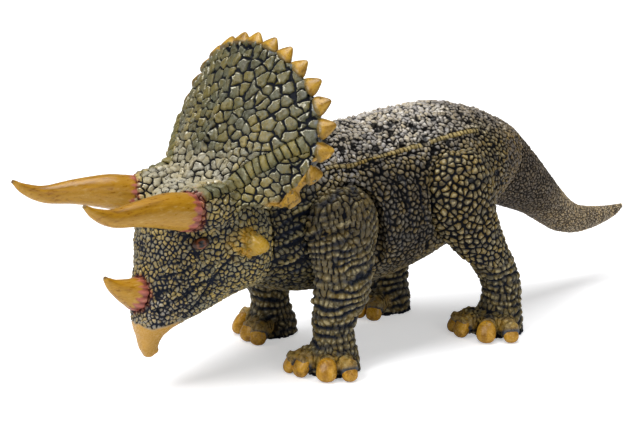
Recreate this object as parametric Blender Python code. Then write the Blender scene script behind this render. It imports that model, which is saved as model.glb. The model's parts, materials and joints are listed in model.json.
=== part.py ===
"""Horned dinosaur toy figure: hollow soft-vinyl shells that swivel on snap pegs.

The figure faces -Y and stands on its soles, with its length along Y and its left side at +X.
Head, tail and four legs are separate shells.  Each one turns on a peg that runs through its
seam wall and through the torso's wall, where a lock washer inside the torso holds it.
"""
import math

import bmesh
import bpy
import numpy as np
from mathutils import Matrix, Vector

# Torso, in metres
BACK_HEIGHT = 0.100
TORSO_LENGTH = 0.140
TORSO_WIDTH = 0.067
WALL = 0.003
NECK_RADIUS = 0.0215
TAIL_ROOT_RADIUS = 0.0195
TAIL_TILT = math.radians(32)
TUBERCLE = 0.0010
CREST_RADIUS = 0.0020

# How far the middles of the neck and tail joints lie below the back
NECK_DROP = 0.042
TAIL_ROOT_DROP = 0.032

# Legs
SHOULDER_RADIUS = 0.0185
HIP_RADIUS = 0.0200
SHOULDER_BULGE = 0.0125
HIP_BULGE = 0.0135
FRONT_LEG_DEPTH = 0.0100
HIND_LEG_DEPTH = 0.0105
LEG_SWING = math.radians(15)
TOE_LENGTH = 0.0140
TOE_WIDTH = 0.0092
TOE_HEIGHT = 0.0094
SOLE_GAP = 0.0003
SOLE_WALL = 0.0050

# Head
SKULL_LENGTH = 0.053
SKULL_DEPTH = 0.045
SKULL_WIDTH = 0.049
FRILL_WIDTH = 0.0925
FRILL_HEIGHT = 0.0435
FRILL_EDGE = 0.0045
FRILL_ROOT = 0.014
FRILL_LEAN = math.radians(30.7)
FRILL_REACH = math.radians(109)
SPIKE_LENGTH = 0.0050
SPIKE_RADIUS = 0.0045
SPIKE_COUNT = 19
JUGAL_LENGTH = 0.0105
JUGAL_RADIUS = 0.0080
PLATE = 0.0008
PLATE_GROOVE = 0.0006
KEEL = 0.0020
BRICK_RADIUS = 0.0034
EYE_LENGTH = 0.0058
NOSTRIL_RADIUS = 0.0014

# Horns
BROW_HORN_LENGTH = 0.050
BROW_HORN_RADIUS = 0.0072
BROW_BOSS_RADIUS = 0.0105
NOSE_HORN_LENGTH = 0.0155
NOSE_HORN_RADIUS = 0.0062
PLUG_LENGTH = 0.0045
PLUG_SHARE = 0.62

# Tail
TAIL_LENGTH = 0.095

# Snap joints and clearances
PEG_RADIUS = 0.0048
PEG_FLANGE_RADIUS = 0.0085
PEG_FLANGE = 0.0020
PEG_NOSE = 0.0022
GROOVE_DEPTH = 0.0007
WASHER_RADIUS = 0.0085
WASHER = 0.0018
GAP = 0.0003
SEAM_GAP = 0.0004
OVERRUN = 0.004

# Points around each kind of section
TORSO_POINTS = 26
HEAD_POINTS = 24
FRILL_POINTS = 26
SPIKE_POINTS = 7
LEG_POINTS = 18
TOE_POINTS = 8
RIDGE_POINTS = 6
TAIL_POINTS = 20
HOLLOW_POINTS = 12
HORN_POINTS = 12
PEG_POINTS = 16

# Torso sections, front to back: place along the length, height of the widest level, lean in
# degrees, half width, rise to the back and drop to the belly.
TORSO_SHARES = (
    (0.06, 0.580, 0, 0.72, 0.235, 0.245),
    (0.13, 0.600, 0, 0.82, 0.290, 0.300),
    (0.21, 0.620, 0, 0.88, 0.330, 0.335),
    (0.31, 0.620, 0, 0.93, 0.345, 0.350),
    (0.43, 0.620, 0, 0.99, 0.355, 0.355),
    (0.54, 0.620, 0, 1.00, 0.370, 0.330),
    (0.65, 0.630, 0, 0.96, 0.372, 0.300),
    (0.76, 0.650, 2, 0.90, 0.352, 0.270),
    (0.86, 0.670, 10, 0.82, 0.290, 0.240),
    (0.94, 0.685, 22, 0.70, 0.235, 0.215),
)

# Raised crests along each flank: where they start and end along the torso, and how far round
# from level to straight up they lie.
CREST_SHARES = ((0.10, 0.26, 0.44), (0.57, 0.68, 0.79))
CREST_TURN = math.radians(45)

# Leg sections below the joint: height, travel from joint to foot, bow to the back, half depth,
# shift from the joint face to the foot's middle, and reach outwards and inwards from there.
FRONT_LEG_SHARES = (
    (0.86, 0.05, 0.10, 1.65, 0.05, 1.20, 0.00),
    (0.70, 0.20, 0.20, 1.50, 0.25, 1.12, 0.00),
    (0.58, 0.35, 0.14, 1.44, 0.55, 1.08, 0.00),
    (0.47, 0.50, 0.10, 1.30, 0.80, 1.02, 0.62),
    (0.37, 0.75, 0.00, 1.00, 0.95, 0.92, 0.90),
    (0.28, 0.88, -0.02, 0.86, 1.00, 0.86, 0.86),
    (0.20, 0.94, 0.00, 0.94, 1.00, 0.93, 0.93),
    (0.10, 1.00, 0.00, 1.12, 1.00, 1.10, 1.08),
    (0.00, 1.00, 0.00, 1.14, 1.00, 1.12, 1.10),
)
HIND_LEG_SHARES = (
    (0.85, 0.10, 0.00, 1.80, 0.05, 1.27, 0.00),
    (0.72, 0.32, 0.00, 1.63, 0.25, 1.14, 0.00),
    (0.61, 0.55, 0.00, 1.42, 0.55, 1.04, 0.00),
    (0.51, 0.74, 0.02, 1.16, 0.80, 0.94, 0.50),
    (0.42, 0.92, 0.10, 0.98, 0.95, 0.88, 0.84),
    (0.30, 1.02, 0.20, 0.86, 1.00, 0.84, 0.84),
    (0.20, 1.02, 0.15, 0.88, 1.00, 0.88, 0.88),
    (0.09, 1.00, 0.00, 1.12, 1.00, 1.10, 1.08),
    (0.00, 1.00, 0.00, 1.14, 1.00, 1.12, 1.10),
)

# Skull sections, neck to beak: travel along and rise over the neck in skull lengths and
# depths, lean in degrees, half width, rise to the brow side and drop to the jaw side.
SKULL_SHARES = (
    (0.16, 0.04, 12, 0.98, 0.60, 0.53),
    (0.34, 0.02, 28, 0.98, 0.62, 0.58),
    (0.49, -0.09, 45, 0.88, 0.60, 0.58),
    (0.63, -0.31, 58, 0.68, 0.392, 0.470),
    (0.745, -0.50, 68, 0.52, 0.282, 0.352),
    (0.85, -0.667, 78, 0.34, 0.165, 0.196),
    (0.887, -0.811, 84, 0.17, 0.080, 0.100),
    (0.880, -0.940, 86, 0.05, 0.025, 0.030),
)

# Tail sections: travel along the length, height above the root's middle, lean in degrees,
# half width, rise and drop, in tail lengths and root radii.
TAIL_SHARES = (
    (0.158, -0.084, 36, 0.93, 0.72, 0.82),
    (0.347, -0.226, 36, 0.70, 0.565, 0.487),
    (0.516, -0.337, 28, 0.50, 0.436, 0.436),
    (0.653, -0.384, 10, 0.40, 0.359, 0.323),
    (0.800, -0.389, -5, 0.28, 0.256, 0.221),
    (0.916, -0.379, -8, 0.17, 0.154, 0.154),
    (0.992, -0.362, -8, 0.06, 0.055, 0.055),
)

# Leg sections above this share of the joint's height pass beside the torso.
BESIDE_TORSO_SHARE = 0.6

# Toes: direction outwards from straight ahead in degrees, and reach from the foot's middle in
# leg depths.
FRONT_TOE_SHARES = ((-29, 2.00), (-7, 1.76), (40, 1.66), (77, 1.72))
HIND_TOE_SHARES = ((-33, 2.02), (-9, 2.00), (31, 1.96), (66, 1.88))

COLOURS = {
    "olive": ((0.20, 0.18, 0.08, 1.0), 0.55),
    "ochre": ((0.62, 0.40, 0.07, 1.0), 0.40),
    "white": ((0.80, 0.80, 0.78, 1.0), 0.35),
}


def clear_scene():
    for thing in list(bpy.data.objects):
        bpy.data.objects.remove(thing, do_unlink=True)


def material(name):
    made = bpy.data.materials.get(name)
    if made is None:
        made = bpy.data.materials.new(name)
        made.use_nodes = True
        shader = made.node_tree.nodes["Principled BSDF"]
        colour, roughness = COLOURS[name]
        shader.inputs["Base Color"].default_value = colour
        shader.inputs["Roughness"].default_value = roughness
    return made


def smooth_rows(rows, steps):
    """Catmull-Rom rows through the given rows, with this many steps between two of them."""
    rows = np.array(rows, float)
    padded = np.vstack([2 * rows[0] - rows[1], rows, 2 * rows[-1] - rows[-2]])
    found = []
    for i in range(len(rows) - 1):
        p0, p1, p2, p3 = padded[i:i + 4]
        for t in np.linspace(0, 1, steps, endpoint=False):
            found.append(
                p1
                + (p2 - p0) * t / 2
                + (2 * p0 - 5 * p1 + 4 * p2 - p3) * t**2 / 2
                + (3 * p1 - p0 - 3 * p2 + p3) * t**3 / 2
            )
    found.append(rows[-1])
    return found


def section(y, z, lean, half_width, rise, drop, segments, power=1.0):
    """Points of an oval in a plane that leans by this angle about X."""
    points = []
    for i in range(segments):
        turn = 2 * math.pi * i / segments
        c, s = math.cos(turn), math.sin(turn)
        across = half_width * math.copysign(abs(c) ** power, c)
        tall = (rise if s > 0 else drop) * math.copysign(abs(s) ** power, s)
        points.append(Vector((across, y + tall * math.sin(lean), z + tall * math.cos(lean))))
    return points


def mesh_object(name, points, faces):
    mesh = bpy.data.meshes.new(name)
    mesh.from_pydata([tuple(p) for p in points], [], faces)
    work = bmesh.new()
    work.from_mesh(mesh)
    bmesh.ops.recalc_face_normals(work, faces=work.faces)
    work.to_mesh(mesh)
    work.free()
    made = bpy.data.objects.new(name, mesh)
    bpy.context.collection.objects.link(made)
    return made


def loft(name, rings):
    """A closed skin over rings with equal point counts, flat at both ends."""
    count = len(rings[0])
    points = [p for ring in rings for p in ring]
    faces = [tuple(range(count)), tuple(range((len(rings) - 1) * count, len(rings) * count))]
    for r in range(len(rings) - 1):
        for i in range(count):
            j = (i + 1) % count
            faces.append((r * count + i, r * count + j, (r + 1) * count + j, (r + 1) * count + i))
    return mesh_object(name, points, faces)


def frame_along(origin, direction):
    """Matrix whose local Z runs along the direction from the origin."""
    return Matrix.Translation(origin) @ direction.to_track_quat("Z", "Y").to_matrix().to_4x4()


def turned(name, profile, origin, direction, segments=PEG_POINTS):
    """A turned solid from (distance along, radius) pairs, closed flat at both ends."""
    place = frame_along(origin, direction)
    rings = []
    for along, radius in profile:
        rings.append([
            place @ Vector((radius * math.cos(a), radius * math.sin(a), along))
            for a in (2 * math.pi * i / segments for i in range(segments))
        ])
    return loft(name, rings)


def combine(target, other, operation):
    """Apply one Boolean and remove the helper."""
    change = target.modifiers.new(operation.title(), "BOOLEAN")
    change.operation = operation
    change.solver = "EXACT"
    change.object = other
    graph = bpy.context.evaluated_depsgraph_get()
    mesh = bpy.data.meshes.new_from_object(target.evaluated_get(graph))
    old = target.data
    target.modifiers.clear()
    target.data = mesh
    bpy.data.meshes.remove(old)
    bpy.data.objects.remove(other, do_unlink=True)


def finish(made, colour, origin=None):
    """Set the colour and shading, and put the object's origin on its joint."""
    made.data.materials.clear()
    made.data.materials.append(material(colour))
    if origin is not None:
        made.data.transform(Matrix.Translation(-Vector(origin)))
        made.location = origin
    made.data.shade_smooth()
    made.data.set_sharp_from_angle(angle=math.radians(50))
    return made


def blob(name, middle, radii, rings=7, segments=14):
    """An egg-shaped solid."""
    points = []
    for r in range(rings):
        high = math.pi * (r + 0.5) / rings
        points.append([
            Vector((
                radii[0] * math.sin(high) * math.cos(a),
                radii[1] * math.sin(high) * math.sin(a),
                radii[2] * math.cos(high),
            ))
            for a in (2 * math.pi * i / segments for i in range(segments))
        ])
    made = loft(name, points)
    made.data.transform(Matrix.Translation(middle))
    return made


# Places worked out from the sizes above.  The figure is first laid out with its neck seam at
# NECK_Y, then every piece is shifted so that the origin lies under the middle of the figure.
NECK_HEIGHT = BACK_HEIGHT - NECK_DROP
TAIL_ROOT_HEIGHT = BACK_HEIGHT - TAIL_ROOT_DROP
SHOULDER_HEIGHT = BACK_HEIGHT * 0.60
HIP_HEIGHT = BACK_HEIGHT * 0.66
NECK_Y = -TORSO_LENGTH * 0.257
TAIL_Y = NECK_Y + TORSO_LENGTH
SHOULDER_Y = NECK_Y + TORSO_LENGTH * 0.214
HIP_Y = NECK_Y + TORSO_LENGTH * 0.668
SHOULDER_FACE = TORSO_WIDTH * 0.373
HIP_FACE = TORSO_WIDTH * 0.403

NECK = Vector((0, NECK_Y, NECK_HEIGHT))
NECK_AXIS = Vector((0, -1, 0))
TAIL = Vector((0, TAIL_Y, TAIL_ROOT_HEIGHT))
TAIL_AXIS = Vector((0, math.cos(TAIL_TILT), -math.sin(TAIL_TILT)))

FRONT_FOOT_X = TORSO_WIDTH * 0.40
HIND_FOOT_X = TORSO_WIDTH * 0.46


class Leg:
    """Where one leg turns and stands."""

    def __init__(self, end, side, foot_y, foot_x, toe_turn):
        front = end == "front"
        self.side = 1 if side == "left" else -1
        self.name = f"{end}_leg_{side}"
        self.joint_y = SHOULDER_Y if front else HIP_Y
        self.height = SHOULDER_HEIGHT if front else HIP_HEIGHT
        self.radius = SHOULDER_RADIUS if front else HIP_RADIUS
        self.bulge = SHOULDER_BULGE if front else HIP_BULGE
        self.face = SHOULDER_FACE if front else HIP_FACE
        self.depth = FRONT_LEG_DEPTH if front else HIND_LEG_DEPTH
        self.shares = FRONT_LEG_SHARES if front else HIND_LEG_SHARES
        self.toes = FRONT_TOE_SHARES if front else HIND_TOE_SHARES
        self.foot_y = foot_y
        self.foot_x = foot_x
        self.toe_turn = toe_turn
        self.joint = Vector((self.side * self.face, self.joint_y, self.height))
        self.axis = Vector((self.side, 0, 0))


LEGS = (
    Leg("front", "left", SHOULDER_Y - TORSO_LENGTH * 0.024, FRONT_FOOT_X * 0.97, 0),
    Leg("front", "right", SHOULDER_Y + TORSO_LENGTH * 0.052, FRONT_FOOT_X * 1.09, -4),
    Leg("hind", "left", HIP_Y + TORSO_LENGTH * 0.165, HIND_FOOT_X, 0),
    Leg("hind", "right", HIP_Y + TORSO_LENGTH * 0.045, HIND_FOOT_X * 0.8, 0),
)


def torso_rings(inset, segments, steps):
    """Torso sections, drawn in by the inset."""
    rows = [(inset, NECK_HEIGHT, 0, NECK_RADIUS, NECK_RADIUS, NECK_RADIUS)]
    for along, level, lean, wide, rise, drop in TORSO_SHARES:
        rows.append((
            along * TORSO_LENGTH,
            level * BACK_HEIGHT,
            math.radians(lean),
            wide * TORSO_WIDTH / 2,
            rise * BACK_HEIGHT,
            drop * BACK_HEIGHT,
        ))
    end = TAIL - TAIL_AXIS * inset
    rows.append((
        end.y - NECK_Y, end.z, TAIL_TILT,
        TAIL_ROOT_RADIUS, TAIL_ROOT_RADIUS, TAIL_ROOT_RADIUS,
    ))
    rings = []
    for y, z, lean, wide, rise, drop in smooth_rows(rows, steps):
        rings.append(section(
            NECK_Y + y, z, lean, wide - inset, rise - inset, drop - inset, segments
        ))
    return rings


def swing_room(leg, face, grow):
    """The space that a leg sweeps beside the torso, from the face outwards: its outline on the
    face, turned through the whole swing."""
    steps = 40
    corners = []
    for z, y, deep, *_ in leg_sections(leg, 0, 4):
        if z > BESIDE_TORSO_SHARE * leg.height:
            corners += [(y + side * deep - leg.joint_y, leg.height - z) for side in (1, -1)]
    reach = [leg.radius] * steps
    for y, down in corners:
        first, last = (math.atan2(y, down) + turn for turn in (-LEG_SWING, LEG_SWING))
        slots = range(math.floor(first / math.tau * steps), math.ceil(last / math.tau * steps) + 1)
        for slot in slots:
            reach[slot % steps] = max(reach[slot % steps], math.hypot(y, down))
    rings = []
    for x in (face, face + TORSO_WIDTH):
        rings.append([
            Vector((
                leg.side * x,
                leg.joint_y + (far + SEAM_GAP + grow) * math.sin(math.tau * i / steps),
                leg.height - (far + SEAM_GAP + grow) * math.cos(math.tau * i / steps),
            ))
            for i, far in enumerate(reach)
        ])
    return loft("swing_room", rings)


def stem_hole(name, point, axis):
    """Cutter for a peg's stem, through the seam walls on both sides of the point."""
    reach = WALL * 2 + OVERRUN
    return turned(name, [(-reach, PEG_RADIUS + GAP), (reach, PEG_RADIUS + GAP)], point, axis)


def raise_faces(shell, wanted, height, border=None):
    """Raise the wanted faces: to a point in the middle, or flat inside a border."""
    work = bmesh.new()
    work.from_mesh(shell.data)
    faces = [face for face in work.faces if wanted(face)]
    if border is None:
        bmesh.ops.poke(work, faces=faces, offset=height)
    else:
        bmesh.ops.inset_individual(work, faces=faces, thickness=border, depth=height)
    work.to_mesh(shell.data)
    work.free()


def carries_tubercle(face):
    """True on the back and flanks, clear of the seams."""
    y = face.calc_center_median().y
    clear = NECK_Y + NECK_RADIUS < y < TAIL_Y - TAIL_ROOT_RADIUS / 2
    slope = math.cos(CREST_TURN)
    return clear and face.normal.z > -slope and abs(face.normal.y) < slope


def ridge(name, path, radii):
    """A raised line: round sections along a path that lies just under the skin."""
    return loft(name, horn_rings(path, radii, RIDGE_POINTS))


def crest_path(side, spans):
    """Points just under the torso's skin along a crest, between its places along the torso."""
    turn = round(CREST_TURN / math.tau * TORSO_POINTS)
    line = [ring[turn] for ring in torso_rings(CREST_RADIUS / 2, TORSO_POINTS, 2)]
    path = []
    for row in smooth_rows([(span,) for span in spans], 3):
        y = NECK_Y + row[0] * TORSO_LENGTH
        after = next(k for k, point in enumerate(line) if point.y > y)
        share = (y - line[after - 1].y) / (line[after].y - line[after - 1].y)
        point = line[after - 1].lerp(line[after], share)
        path.append(Vector((side * point.x, point.y, point.z)))
    return path


def build_torso():
    torso = loft("torso", torso_rings(0, TORSO_POINTS, 2))
    raise_faces(torso, carries_tubercle, TUBERCLE)
    for side in (1, -1):
        for spans in CREST_SHARES:
            path = crest_path(side, spans)
            radii = [CREST_RADIUS] * len(path)
            radii[0] = radii[-1] = CREST_RADIUS / 2
            combine(torso, ridge("crest", path, radii), "UNION")
    hollow = loft("hollow", torso_rings(WALL, HOLLOW_POINTS, 1))
    for leg in LEGS:
        combine(torso, swing_room(leg, leg.face, 0), "DIFFERENCE")
        combine(hollow, swing_room(leg, leg.face - WALL, WALL), "DIFFERENCE")
    combine(torso, hollow, "DIFFERENCE")
    for leg in LEGS:
        combine(torso, stem_hole("hole", leg.joint, leg.axis), "DIFFERENCE")
    combine(torso, stem_hole("hole", NECK, NECK_AXIS), "DIFFERENCE")
    combine(torso, stem_hole("hole", TAIL, TAIL_AXIS), "DIFFERENCE")
    return finish(torso, "olive")


def leg_sections(leg, inset, steps):
    """Level sections from the joint's top to the sole: height, middle and half depth along Y,
    inner and outer X, and 1 where the inner side lies flat on the joint face."""
    face = leg.face + SEAM_GAP
    caps = 4
    rows = []
    for i in range(1, caps):
        turn = math.pi / 2 * i / caps
        rows.append((
            leg.height + (leg.radius - inset) * math.cos(turn),
            leg.joint_y,
            (leg.radius - inset) * math.sin(turn),
            face + inset,
            face + inset + (leg.bulge - 2 * inset) * math.sin(turn) ** 0.7,
            1,
        ))
    side = [(leg.height, leg.joint_y, leg.radius, face, face + leg.bulge, 1)]
    for high, travel, bow, deep, shift, outer, inner in leg.shares:
        middle = leg.face + shift * (leg.foot_x - leg.face)
        side.append((
            high * leg.height,
            leg.joint_y + travel * (leg.foot_y - leg.joint_y) + bow * leg.depth,
            deep * leg.depth,
            middle - inner * leg.depth if inner else face,
            middle + outer * leg.depth,
            0 if inner else 1,
        ))
    for z, y, deep, near, far, flat in smooth_rows(side, steps):
        if not inset or z >= SOLE_WALL:
            rows.append((z, y, deep - inset, near + inset, far - inset, flat))
    return rows


def leg_rings(leg, inset, segments, steps):
    """Level rings of a leg, flat on the side that faces the torso."""
    rings = []
    for z, y, deep, near, far, flat in leg_sections(leg, inset, steps):
        middle = near + (far - near) / 2 * (1 - min(max(flat, 0), 1))
        ring = []
        for i in range(segments):
            turn = 2 * math.pi * i / segments
            x = max(middle + (far - middle) * math.cos(turn), near)
            ring.append(Vector((leg.side * x, y + deep * math.sin(turn), z)))
        rings.append(ring)
    return rings


# A toe from its root to its tip: place along it, half width, half height and height of the
# middle, in toe lengths, toe widths and toe heights, with a slight neck behind the blunt nail.
TOE_SHARES = (
    (0.00, 0.44, 0.58, 0.60),
    (0.42, 0.50, 0.60, 0.60),
    (0.72, 0.41, 0.46, 0.50),
    (0.86, 0.44, 0.50, 0.50),
    (0.95, 0.34, 0.38, 0.44),
    (1.00, 0.16, 0.19, 0.38),
)


def add_toes(shell, leg):
    """Four rounded toes, each with a knuckle and a blunt nail."""
    foot = Vector((leg.side * leg.foot_x, leg.foot_y, SOLE_GAP))
    for toe, reach in leg.toes:
        turn = math.radians(toe + leg.toe_turn)
        ahead = Vector((leg.side * math.sin(turn), -math.cos(turn), 0))
        across = Vector((-ahead.y, ahead.x, 0))
        rings = []
        for along, wide, high, lift in TOE_SHARES:
            middle = foot + ahead * (leg.depth * reach - TOE_LENGTH * (1 - along))
            rings.append([
                middle
                + across * TOE_WIDTH * wide * math.cos(a)
                + Vector((0, 0, TOE_HEIGHT * (lift + high * math.sin(a))))
                for a in (2 * math.pi * i / TOE_POINTS for i in range(TOE_POINTS))
            ])
        combine(shell, loft("toe", rings), "UNION")


def build_leg(leg):
    shell = loft(leg.name, leg_rings(leg, 0, LEG_POINTS, 2))
    add_toes(shell, leg)
    combine(shell, loft("hollow", leg_rings(leg, WALL, HOLLOW_POINTS, 1)), "DIFFERENCE")
    combine(shell, stem_hole("hole", leg.joint, leg.axis), "DIFFERENCE")
    return finish(shell, "olive", leg.joint)


def build_peg(name, joint, axis):
    """Flange inside the moving shell, stem through both walls, groove for the washer."""
    flange_at = SEAM_GAP + WALL + GAP
    washer_at = -WALL - GAP
    profile = [
        (flange_at + PEG_FLANGE, PEG_FLANGE_RADIUS * 0.9),
        (flange_at, PEG_FLANGE_RADIUS),
        (flange_at, PEG_RADIUS),
        (washer_at, PEG_RADIUS),
        (washer_at, PEG_RADIUS - GROOVE_DEPTH),
        (washer_at - WASHER - GAP, PEG_RADIUS - GROOVE_DEPTH),
        (washer_at - WASHER - GAP, PEG_RADIUS),
        (washer_at - WASHER - GAP - PEG_NOSE, PEG_RADIUS * 0.8),
    ]
    peg = turned(f"{name}_peg", profile[::-1], joint, axis)
    return finish(peg, "white", joint)


def build_washer(name, joint, axis):
    """Ring that snaps into the peg's groove inside the torso."""
    near = -WALL - GAP - GAP / 2
    far = near - WASHER
    ring = turned(
        f"{name}_washer",
        [(far, WASHER_RADIUS * 0.94), (near, WASHER_RADIUS)],
        joint, axis,
    )
    bore = PEG_RADIUS - GROOVE_DEPTH + GAP
    hole = turned("hole", [(far - OVERRUN, bore), (near + OVERRUN, bore)], joint, axis)
    combine(ring, hole, "DIFFERENCE")
    return finish(ring, "white", joint)


def skull_place(along, rise):
    """A place in the head, in skull lengths ahead of the neck and skull depths above it."""
    return Vector((0, NECK_Y - along * SKULL_LENGTH, NECK_HEIGHT + rise * SKULL_DEPTH))


# Below 1 the skull's sections fill out towards a square.
SKULL_SQUARE_SHARE = 0.86

# Places on the head, in skull lengths ahead of the neck and skull depths above it, and how far
# out they lie in skull widths.
FRILL_SHARES = (0.385, 0.755)
BROW_SHARES = (0.735, 0.40)
BROW_SPREAD_SHARE = 0.39
NOSE_SHARES = (0.945, -0.375)
JUGAL_SHARES = (0.30, 0.06)
JUGAL_SPREAD_SHARE = 0.44
JUGAL_HEADING_SHARES = (1, 0.36, 0.02)


def skull_rings(inset, segments, steps, rows_used=None):
    start = SEAM_GAP + inset
    rows = [(NECK_Y - start, NECK_HEIGHT, 0, NECK_RADIUS, NECK_RADIUS, NECK_RADIUS)]
    for along, up, lean, wide, rise, drop in SKULL_SHARES[:rows_used]:
        place = skull_place(along, up)
        rows.append((
            place.y, place.z, -math.radians(lean),
            wide * SKULL_WIDTH / 2, rise * SKULL_DEPTH, drop * SKULL_DEPTH,
        ))
    return [
        section(y, z, lean, wide - inset, rise - inset, drop - inset, segments, SKULL_SQUARE_SHARE)
        for y, z, lean, wide, rise, drop in smooth_rows(rows, steps)
    ]


# The frill's middle on the skull, how far its sides sweep back and how much more low down,
# how much it narrows low down, and how far below the middle its lower edge lies.
FRILL_MIDDLE = skull_place(*FRILL_SHARES)
FRILL_SWEEP_SHARE = 0.36
FRILL_CURL_SHARE = 0.9
FRILL_PINCH_SHARE = 0.75
FRILL_DROP_SHARE = -math.cos(FRILL_REACH)


def frill_point(across, up, depth):
    """A point of the frill, from its place across and up in shares of the rim's size, and its
    depth behind the front surface."""
    low = (math.hypot(across, up) - up) / 2
    x = FRILL_WIDTH / 2 * across * (1 - FRILL_PINCH_SHARE * low**4)
    rise = FRILL_HEIGHT * up
    sweep = FRILL_SWEEP_SHARE * across * x * (1 + FRILL_CURL_SHARE * low * low)
    return Vector((
        x,
        FRILL_MIDDLE.y + rise * math.tan(FRILL_LEAN) + sweep + depth * math.cos(FRILL_LEAN),
        FRILL_MIDDLE.z + rise - depth * math.sin(FRILL_LEAN),
    ))


def frill_outline():
    """The rim as shares: an arc over the top and sides, and a straight lower edge."""
    edge_steps = 6
    outline = []
    for i in range(FRILL_POINTS + 1):
        angle = FRILL_REACH * (2 * i / FRILL_POINTS - 1)
        outline.append((math.sin(angle), math.cos(angle)))
    end = outline[-1][0]
    for i in range(1, edge_steps):
        outline.append((end * (1 - 2 * i / edge_steps), -FRILL_DROP_SHARE))
    return outline


# Rings of the frill in shares of its reach: those of the front bound its plates.
FRONT_RING_SHARES = (0.12, 0.34, 0.49, 0.63, 0.77, 0.89, 0.97)
REAR_RING_SHARES = (0.12, 0.52, 0.84, 0.97)


def carries_plate(face):
    """True on the frill's front, above its lower edge and inside its rim."""
    place = face.calc_center_median()
    rise = (place.z - FRILL_MIDDLE.z) / FRILL_HEIGHT
    reach = math.hypot(place.x / FRILL_WIDTH * 2, rise)
    between = FRONT_RING_SHARES[1] < reach < FRONT_RING_SHARES[-2]
    ahead = face.normal.y < -math.sin(FRILL_LEAN) / 2
    return ahead and between and rise > -FRILL_DROP_SHARE / 2


def is_end(face):
    """True on the ends of a loft: where those are slightly hollow, they are split into fans."""
    return len(face.verts) > 4


def build_frill():
    """The shield behind the skull, thick where it grows out of the skull and rounded at the rim,
    with raised plates and a keel over its front."""
    rings = []
    outline = frill_outline()
    for s in FRONT_RING_SHARES:
        rings.append([frill_point(a * s, u * s, 0 if a else -KEEL) for a, u in outline])
    for d in (0.3, 0.7):
        rings.append([frill_point(a, u, FRILL_EDGE * d) for a, u in outline])
    for s in reversed(REAR_RING_SHARES):
        thick = FRILL_EDGE + (FRILL_ROOT - FRILL_EDGE) * (1 - s) ** 1.5
        rings.append([frill_point(a * s, u * s, thick) for a, u in outline])
    frill = loft("frill", rings)
    raise_faces(frill, is_end, 0)
    raise_faces(frill, carries_plate, PLATE, PLATE_GROOVE)
    return frill


def build_spike(angle):
    root = 0.93
    end = 1 + SPIKE_LENGTH / (FRILL_WIDTH / 2)
    base = frill_point(root * math.sin(angle), root * math.cos(angle), FRILL_EDGE / 2)
    tip = frill_point(end * math.sin(angle), end * math.cos(angle), FRILL_EDGE / 2)
    out = tip - base
    length = out.length
    profile = [
        (0, SPIKE_RADIUS),
        (length * 0.64, SPIKE_RADIUS * 0.80),
        (length, SPIKE_RADIUS * 0.18),
    ]
    return turned("spike", profile, base, out.normalized(), SPIKE_POINTS)


def horn_rings(path, radii, segments):
    """Round sections square to a curved path."""
    rings = []
    for i, (point, radius) in enumerate(zip(path, radii)):
        ahead = path[min(i + 1, len(path) - 1)] - path[max(i - 1, 0)]
        place = frame_along(point, ahead.normalized())
        rings.append([
            place @ Vector((radius * math.cos(a), radius * math.sin(a), 0))
            for a in (2 * math.pi * k / segments for k in range(segments))
        ])
    return rings


# Brow horn: place along, rise and spread of the middle line, in horn lengths, and its radius.
BROW_HORN_SHARES = (
    (0.00, 0.000, 0.00, 1.00),
    (0.12, 0.030, 0.02, 1.00),
    (0.25, 0.055, 0.04, 0.93),
    (0.50, 0.080, 0.08, 0.68),
    (0.74, 0.090, 0.11, 0.48),
    (0.90, 0.150, 0.13, 0.30),
    (1.00, 0.225, 0.14, 0.10),
)
NOSE_HORN_SHARES = (
    (0.00, 0.00, 0.00, 1.00),
    (0.15, 0.05, 0.00, 1.00),
    (0.42, 0.17, 0.00, 0.78),
    (0.72, 0.34, 0.00, 0.48),
    (0.92, 0.52, 0.00, 0.24),
    (1.00, 0.62, 0.00, 0.10),
)


def horn_parts(base, length, radius, shares, side):
    """Middle line and radii of a horn, and the direction in which its plug enters the head."""
    rows = smooth_rows(shares, 2)
    path = [base + Vector((side * w * length, -a * length, r * length)) for a, r, w, _ in rows]
    radii = [t * radius for _, _, _, t in rows]
    return path, radii, (path[1] - path[0]).normalized()


def build_horn(name, base, length, radius, shares, side):
    path, radii, out = horn_parts(base, length, radius, shares, side)
    horn = loft(name, horn_rings(path, radii, HORN_POINTS))
    plug = turned(
        "plug",
        [(-PLUG_LENGTH, radius * PLUG_SHARE * 0.9), (-PLUG_LENGTH * 0.8, radius * PLUG_SHARE),
         (PLUG_LENGTH * 0.5, radius * PLUG_SHARE)],
        base, out, HORN_POINTS,
    )
    combine(horn, plug, "UNION")
    return finish(horn, "ochre")


def horn_seat(base, length, radius, shares, side):
    """Cutters for a horn's seat and for its plug's socket."""
    _, _, out = horn_parts(base, length, radius, shares, side)
    reach = radius * 2
    seat = turned("seat", [(-GAP, radius + GAP), (reach, radius * 1.25 + GAP)], base, out, HORN_POINTS)
    socket = turned(
        "socket",
        [(-PLUG_LENGTH - GAP, radius * PLUG_SHARE + GAP), (reach, radius * PLUG_SHARE + GAP)],
        base, out, HORN_POINTS,
    )
    return seat, socket


BROW_BASE = skull_place(*BROW_SHARES) + Vector((SKULL_WIDTH * BROW_SPREAD_SHARE, 0, 0))
BROW_BASE_RIGHT = Vector((-BROW_BASE.x, BROW_BASE.y, BROW_BASE.z))
NOSE_BASE = skull_place(*NOSE_SHARES)
HORNS = (
    ("brow_horn_left", BROW_BASE, BROW_HORN_LENGTH, BROW_HORN_RADIUS, BROW_HORN_SHARES, 1),
    ("brow_horn_right", BROW_BASE_RIGHT, BROW_HORN_LENGTH, BROW_HORN_RADIUS, BROW_HORN_SHARES, -1),
    ("nose_horn", NOSE_BASE, NOSE_HORN_LENGTH, NOSE_HORN_RADIUS, NOSE_HORN_SHARES, 0),
)


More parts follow.
